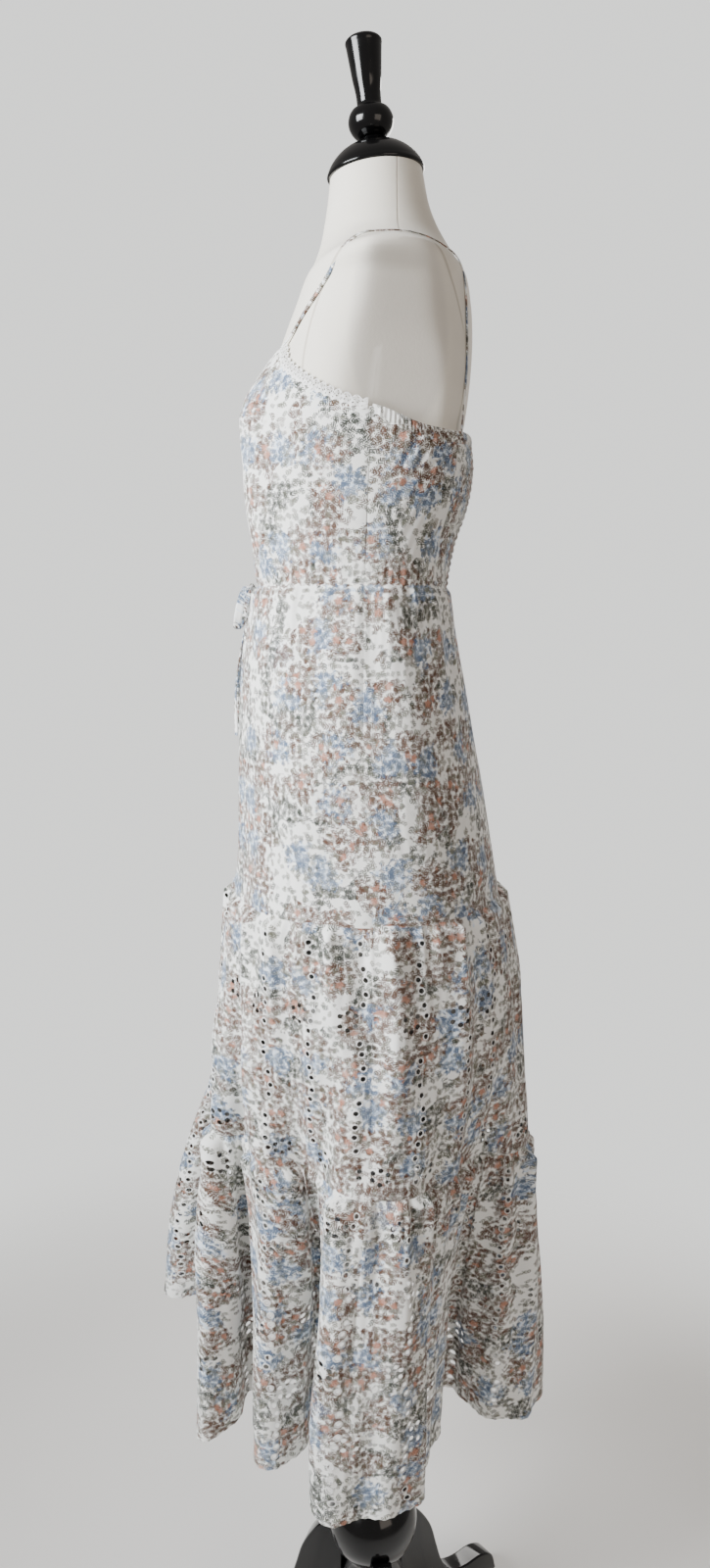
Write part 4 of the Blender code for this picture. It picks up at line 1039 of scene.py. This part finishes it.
smocked, farSmocked = bodice["smockedTurn"], 180.0 - bodice["smockedTurn"]
frontCut = (underLace, waistLine, frontRelief, (0.0022, 0.0024), 1.0)
sideCut = (underCasing, waistLine, sideRelief, (0.0018, 0.0022), 1.0)
backCut = (underCasing, waistLine, smockedRelief, (0.0011, 0.0012), 1.5)
casingCut = (topEdge, casingFoot, casingRelief, (0.0010, 0.0012), 1.5)
makeBodicePiece("bodice_front_left", 270.0, 360.0, *frontCut)
makeBodicePiece("bodice_front_right", 180.0, 270.0, *frontCut)
makeBodicePiece("bodice_side_left", 0.0, smocked, *sideCut)
makeBodicePiece("bodice_side_right", farSmocked, 180.0, *sideCut)
makeBodicePiece("bodice_back_smocked", smocked, farSmocked, *backCut)
makeBodicePiece("back_casing", 0.0, 180.0, *casingCut)
print("bodice made")


lace = {
    "above": 0.0012,
    "below": 0.0070,
    "scallop": 0.0040,
    "scallopPitch": 0.0090,
    "holeRadius": 0.0009,
    "step": 0.0013,
    "wall": 0.0006,
    "offCloth": 0.0009,
    "turns": 88.0,
    "metresPerTurn": 0.0024,  # for one degree
}


def makeLace(side, first):
    width = lace["turns"] * lace["metresPerTurn"]
    length = lace["above"] + lace["below"] + lace["scallop"]

    def place(across, down):
        turn = first + 1.0 + lace["turns"] * across / width
        edge, phase = topEdge(turn), across / lace["scallopPitch"] * math.pi
        arch = np.abs(np.sin(phase))
        high = edge + lace["above"] + lace["scallop"] * arch**0.7
        low = edge - lace["below"] + 0.0022 * arch
        z = high + (low - high) * down / length
        angle = np.radians(turn)
        outward = outwardAt(bodicePoint, angle, np.minimum(z, edge + 0.0045))
        wave = 0.0003 * np.sin(phase * 2)
        bend = 0.0030 * ramp(z - edge, -0.0012, 0.0040)
        return bodicePoint(angle, z) + outward * (lace["offCloth"] + wave - bend)[..., None]

    step = lace["step"]
    holes, pitch = [], step * 3
    for row, down in enumerate(np.arange(step * 2, length - step, step * 2)):
        start = pitch * 1.5 if row % 2 else pitch
        holes += [(across, down, False) for across in np.arange(start, width - pitch, pitch)]
    bm = clothGrid((width, length), (step, step), place, holes, lace["holeRadius"])[0]
    piece = finishPiece(f"lace_trim_{side}_band", bm, laceCotton)
    addWall(piece, lace["wall"], 0.0)
    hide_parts(f"lace_trim_{side}")


makeLace("left", 270.0)
makeLace("right", 180.0)
print("lace made")


def makeFromSolid(node, levels=2, uvShift=0.0, keepEdges=True):
    # the solid's own shape, rounded
    bm = bmesh.new()
    bm.from_mesh(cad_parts[node].data)
    bmesh.ops.remove_doubles(bm, verts=bm.verts, dist=0.00002)
    flat, square = math.radians(35), math.radians(60)
    limits = dict(angle_face_threshold=flat, angle_shape_threshold=square)
    bmesh.ops.join_triangles(bm, faces=bm.faces, **limits)
    crease = bm.edges.layers.float.new("crease_edge")
    for edge in bm.edges:
        if keepEdges and edge.is_manifold and edge.calc_face_angle() > math.radians(45):
            edge[crease] = 0.95
    uvLayer = bm.loops.layers.uv.get("cloth") or bm.loops.layers.uv.new("cloth")
    for face in bm.faces:
        for loop in face.loops:
            spot = loop.vert.co
            loop[uvLayer].uv = (spot.x + uvShift, spot.z + spot.y * 0.7)
    piece = finishPiece(f"{node}_cloth", bm, printedCotton, moveToPole=False)
    rounding = piece.modifiers.new("rounding", "SUBSURF")
    rounding.levels = rounding.render_levels = levels
    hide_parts(node)
    return piece


for side in ("left", "right"):
    strap = makeFromSolid(f"strap_{side}")
knot = makeFromSolid("tie_knot", levels=1, keepEdges=False)
for side in ("left", "right"):
    for part in ("loop", "tail"):
        strip = makeFromSolid(f"tie_{part}_{side}", uvShift=0.4)
print("straps and tie made")


form = {
    "columns": 150,
    "rows": 170,
    "plateSink": 0.0110,
    "plateSlope": -0.30,
    "plateSoft": 0.0035,
    "neckTilt": 6.0,
}


def makeForm():
    columns = np.array(formSections).T
    heights, halves, sideYs = columns[0], columns[1], columns[4]
    along = alongLine(columns[:2].T)
    total = along[-1]
    width = 0.9  # of the linen's map

    def place(across, down):
        turn = across / width * 2 * math.pi
        z = np.interp(total * (1 - down / total), along, heights)
        point = ovalPoint(formSections, turn, z)
        # the plate over the cut arm is flatter than the body round it
        half = smoothValue(heights, halves, z)
        tilt = form["plateSlope"] * (point[..., 1] - smoothValue(heights, sideYs, z))
        sink = (form["plateSink"] - tilt) * ramp(z, 1.40, 1.50) * ramp(z, 1.655, 1.640)
        level, soft, size = half - sink, form["plateSoft"], np.abs(point[..., 0])
        past = np.clip((level - size) / soft, -30, 30)
        flattened = np.minimum(size, np.maximum(level - soft * np.log1p(np.exp(past)), 0.0))
        use = ramp(z, 1.38, 1.46) * ramp(z, 1.66, 1.645)
        point[..., 0] = np.sign(point[..., 0]) * (size * (1 - use) + flattened * use)
        neck = ramp(z, 1.720, 1.757) * point[..., 1]
        point[..., 2] += neck * math.tan(math.radians(form["neckTilt"]))
        return point

    cell = (width / form["columns"], total / form["rows"])
    bm = clothGrid((width, total), cell, place, closed=True)[0]
    rims = [edge for edge in bm.edges if edge.is_boundary]
    bmesh.ops.holes_fill(bm, edges=rims, sides=0)
    piece = finishPiece("form_torso_linen", bm, ivoryLinen)
    piece.data.set_sharp_from_angle(angle=math.radians(50))
    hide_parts("form_torso")


makeForm()
print("form made")


turned = {
    "cap": [
        (0.0, 0.0345), (0.014, 0.034), (0.019, 0.03), (0.03, 0.025), (0.041, 0.0165),
        (0.0485, 0.006), (0.05, 0.0015), (0.049, 0.0), (0.0, 0.0),
    ],
    "finial": [
        (0.0, 0.093), (0.016, 0.093), (0.0185, 0.0905), (0.018, 0.086), (0.015, 0.058),
        (0.0125, 0.036), (0.013, 0.03), (0.0185, 0.027), (0.0225, 0.02), (0.023, 0.014),
        (0.0205, 0.007), (0.015, 0.0012), (0.0125, 0.0), (0.0, 0.0),
    ],
    "hub": [
        (0.0, 0.276), (0.0175, 0.276), (0.0185, 0.274), (0.019, 0.2585), (0.035, 0.2474),
        (0.047, 0.2336), (0.055, 0.205), (0.0515, 0.1857), (0.045, 0.1734), (0.036, 0.1634),
        (0.036, 0.1), (0.03, 0.095), (0.0, 0.092),
    ],
    "steps": 72,
    "gap": 0.0003,
    "neckTop": 1.757,
}


def lacquered(name, node, bm):
    piece = finishPiece(name, bm, blackLacquer)
    piece.data.set_sharp_from_angle(angle=math.radians(40))
    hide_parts(node)


def makeTurned(name, profile, node, place):
    points = np.array(profile)
    length = alongLine(points)
    reads = np.unique(np.concatenate([np.linspace(0, length[-1], 90), length]))
    radii = np.maximum(smoothValue(length, points[:, 0], reads), 0.0)
    heights = smoothValue(length, points[:, 1], reads)
    heights = np.clip(heights, points[:, 1].min(), points[:, 1].max())
    radii[0] = radii[-1] = 0.0
    bm = bmesh.new()
    corners = [bm.verts.new((radius, 0.0, height)) for radius, height in zip(radii, heights)]
    edges = [bm.edges.new(pair) for pair in zip(corners, corners[1:])]
    whole = dict(cent=origin, axis=(0, 0, 1), angle=2 * math.pi, use_merge=True)
    bmesh.ops.spin(bm, geom=corners + edges, steps=turned["steps"], **whole)
    bmesh.ops.remove_doubles(bm, verts=bm.verts, dist=0.00002)
    bmesh.ops.recalc_face_normals(bm, faces=bm.faces)
    bmesh.ops.transform(bm, matrix=place, verts=bm.verts)
    lacquered(name, node, bm)


tilt = math.radians(form["neckTilt"])
upNeck = Vector((0.0, -math.sin(tilt), math.cos(tilt)))
capBase = Vector((0.0, -0.0005, turned["neckTop"])) + upNeck * turned["gap"]
finialBase = capBase + upNeck * (turned["cap"][0][1] + turned["gap"])
leaning = Matrix.Rotation(tilt, 4, "X")
onNeck, onCap = (Matrix.Translation(base) @ leaning for base in (capBase, finialBase))
makeTurned("neck_cap_turned", turned["cap"], "neck_cap", onNeck)
makeTurned("finial_turned", turned["finial"], "finial", onCap)
makeTurned("base_hub_turned", turned["hub"], "base_hub", Matrix.Identity(4))

legs = {
    # distance from the pole and height, round one leg
    "outline": [
        (0.0363, 0.101), (0.0363, 0.1618), (0.0458, 0.173), (0.053, 0.188), (0.064, 0.185),
        (0.079, 0.166), (0.092, 0.142), (0.101, 0.112), (0.112, 0.078), (0.129, 0.054),
        (0.156, 0.043), (0.186, 0.04), (0.208, 0.028), (0.215, 0.01), (0.212, 0.0), (0.164, 0.0),
        (0.138, 0.008), (0.114, 0.024), (0.094, 0.05), (0.078, 0.076), (0.056, 0.096),
    ],
    "halfThickness": 0.013,
    "edge": 0.0055,
    "turns": (40.0, 160.0, 280.0),
}


def makeLeg(number, turn):
    half, hub = legs["halfThickness"], legs["outline"][0][0]
    line = roundCurve(legs["outline"], 5)
    bm = bmesh.new()
    corners = [bm.verts.new((max(reach, hub), -half, max(height, 0.0))) for reach, height in line]
    bmesh.ops.remove_doubles(bm, verts=bm.verts, dist=0.0004)
    side = bm.faces.new([corner for corner in corners if corner.is_valid])
    other = bmesh.ops.extrude_face_region(bm, geom=[side])["geom"]
    moved = [item for item in other if isinstance(item, bmesh.types.BMVert)]
    bmesh.ops.translate(bm, vec=(0, half * 2, 0), verts=moved)
    bmesh.ops.recalc_face_normals(bm, faces=bm.faces)
    rims = [edge for edge in bm.edges if abs(edge.verts[0].co.y - edge.verts[1].co.y) < 1e-6]
    settings = dict(offset_type="OFFSET", segments=4, profile=0.5, affect="EDGES", material=-1)
    bmesh.ops.bevel(bm, geom=rims, offset=legs["edge"], clamp_overlap=True, **settings)
    matrix = Matrix.Rotation(math.radians(turn + 90.0), 4, "Z")
    bmesh.ops.transform(bm, matrix=matrix, verts=bm.verts)
    lacquered(f"leg_{number}_shaped", f"leg_{number}", bm)


for number, turn in enumerate(legs["turns"], start=1):
    makeLeg(number, turn)

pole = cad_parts["pole"]
pole.data.materials.clear()
pole.data.materials.append(steel)
print("stand made")


studio = {
    "floor": (0.84, 0.83, 0.81),
    "floorReach": 1.5,
    "floorFade": (0.75, 1.45),
    # the air's light, and how bright it looks behind the dress
    "air": (0.305, 0.29, 0.275),
    "backdrop": (1.32, 1.33, 1.30),
    # place, target, size, beam, power, colour
    "lights": [
        ("key", (1.00, -1.68, 1.95), (0.0, 0.0, 1.42), 1.2, 95.0, 47.0, (0.95, 0.975, 1.0)),
        ("far", (-2.3, 0.8, 2.0), (0.0, 0.0, 1.1), 1.6, 180.0, 55.0, (1.0, 0.98, 0.95)),
        ("fill", (2.4, 1.7, 1.55), (0.0, 0.1, 1.35), 1.6, 180.0, 18.0, (1.0, 0.87, 0.76)),
    ],
    "camera": {"place": (1.2, 0.0215, 1.325), "down": 9.26, "lens": 25.11},
}


def makeStudio():
    material, tree, shader = newMaterial("floorPaint", Roughness=0.75)
    place = objectSpot(tree)
    darker = tuple(c * 0.97 for c in studio["floor"])
    setInputs(shader, Base__Color=mixColor(addNoise(place, 3.0, 3.0), darker, studio["floor"]))
    near, gone = studio["floorFade"]
    setInputs(shader, Alpha=fade(lengthOf(place), gone, near))
    bm = bmesh.new()
    bmesh.ops.create_circle(bm, cap_ends=True, segments=96, radius=studio["floorReach"])
    meshObject("floor", bm, material)
    world = bpy.data.worlds.new("studioAir")
    bpy.context.scene.world = world
    world.use_nodes = True
    sky = world.node_tree.nodes["Background"]
    seen = addNode(world.node_tree, "ShaderNodeLightPath").outputs["Is Camera Ray"]
    setInputs(sky, Color=mixColor(seen, studio["air"], studio["backdrop"]))
    for name, spot, target, size, beam, power, color in studio["lights"]:
        data = bpy.data.lights.new(name, "AREA")
        data.size, data.spread = size, math.radians(beam)
        data.energy, data.color = power, color
        light = addObject(name, data)
        light.location = spot
        toTarget = Vector(target) - Vector(spot)
        light.rotation_euler = toTarget.to_track_quat("-Z", "Y").to_euler()
    looks = studio["camera"]
    data = bpy.data.cameras.new("sideView")
    data.lens, data.sensor_width = looks["lens"], 36.0
    camera = addObject("sideView", data)
    camera.location = looks["place"]
    camera.rotation_euler = (math.radians(90.0 - looks["down"]), 0.0, math.radians(90.0))
    bpy.context.scene.camera = camera


makeStudio()
print("studio made")
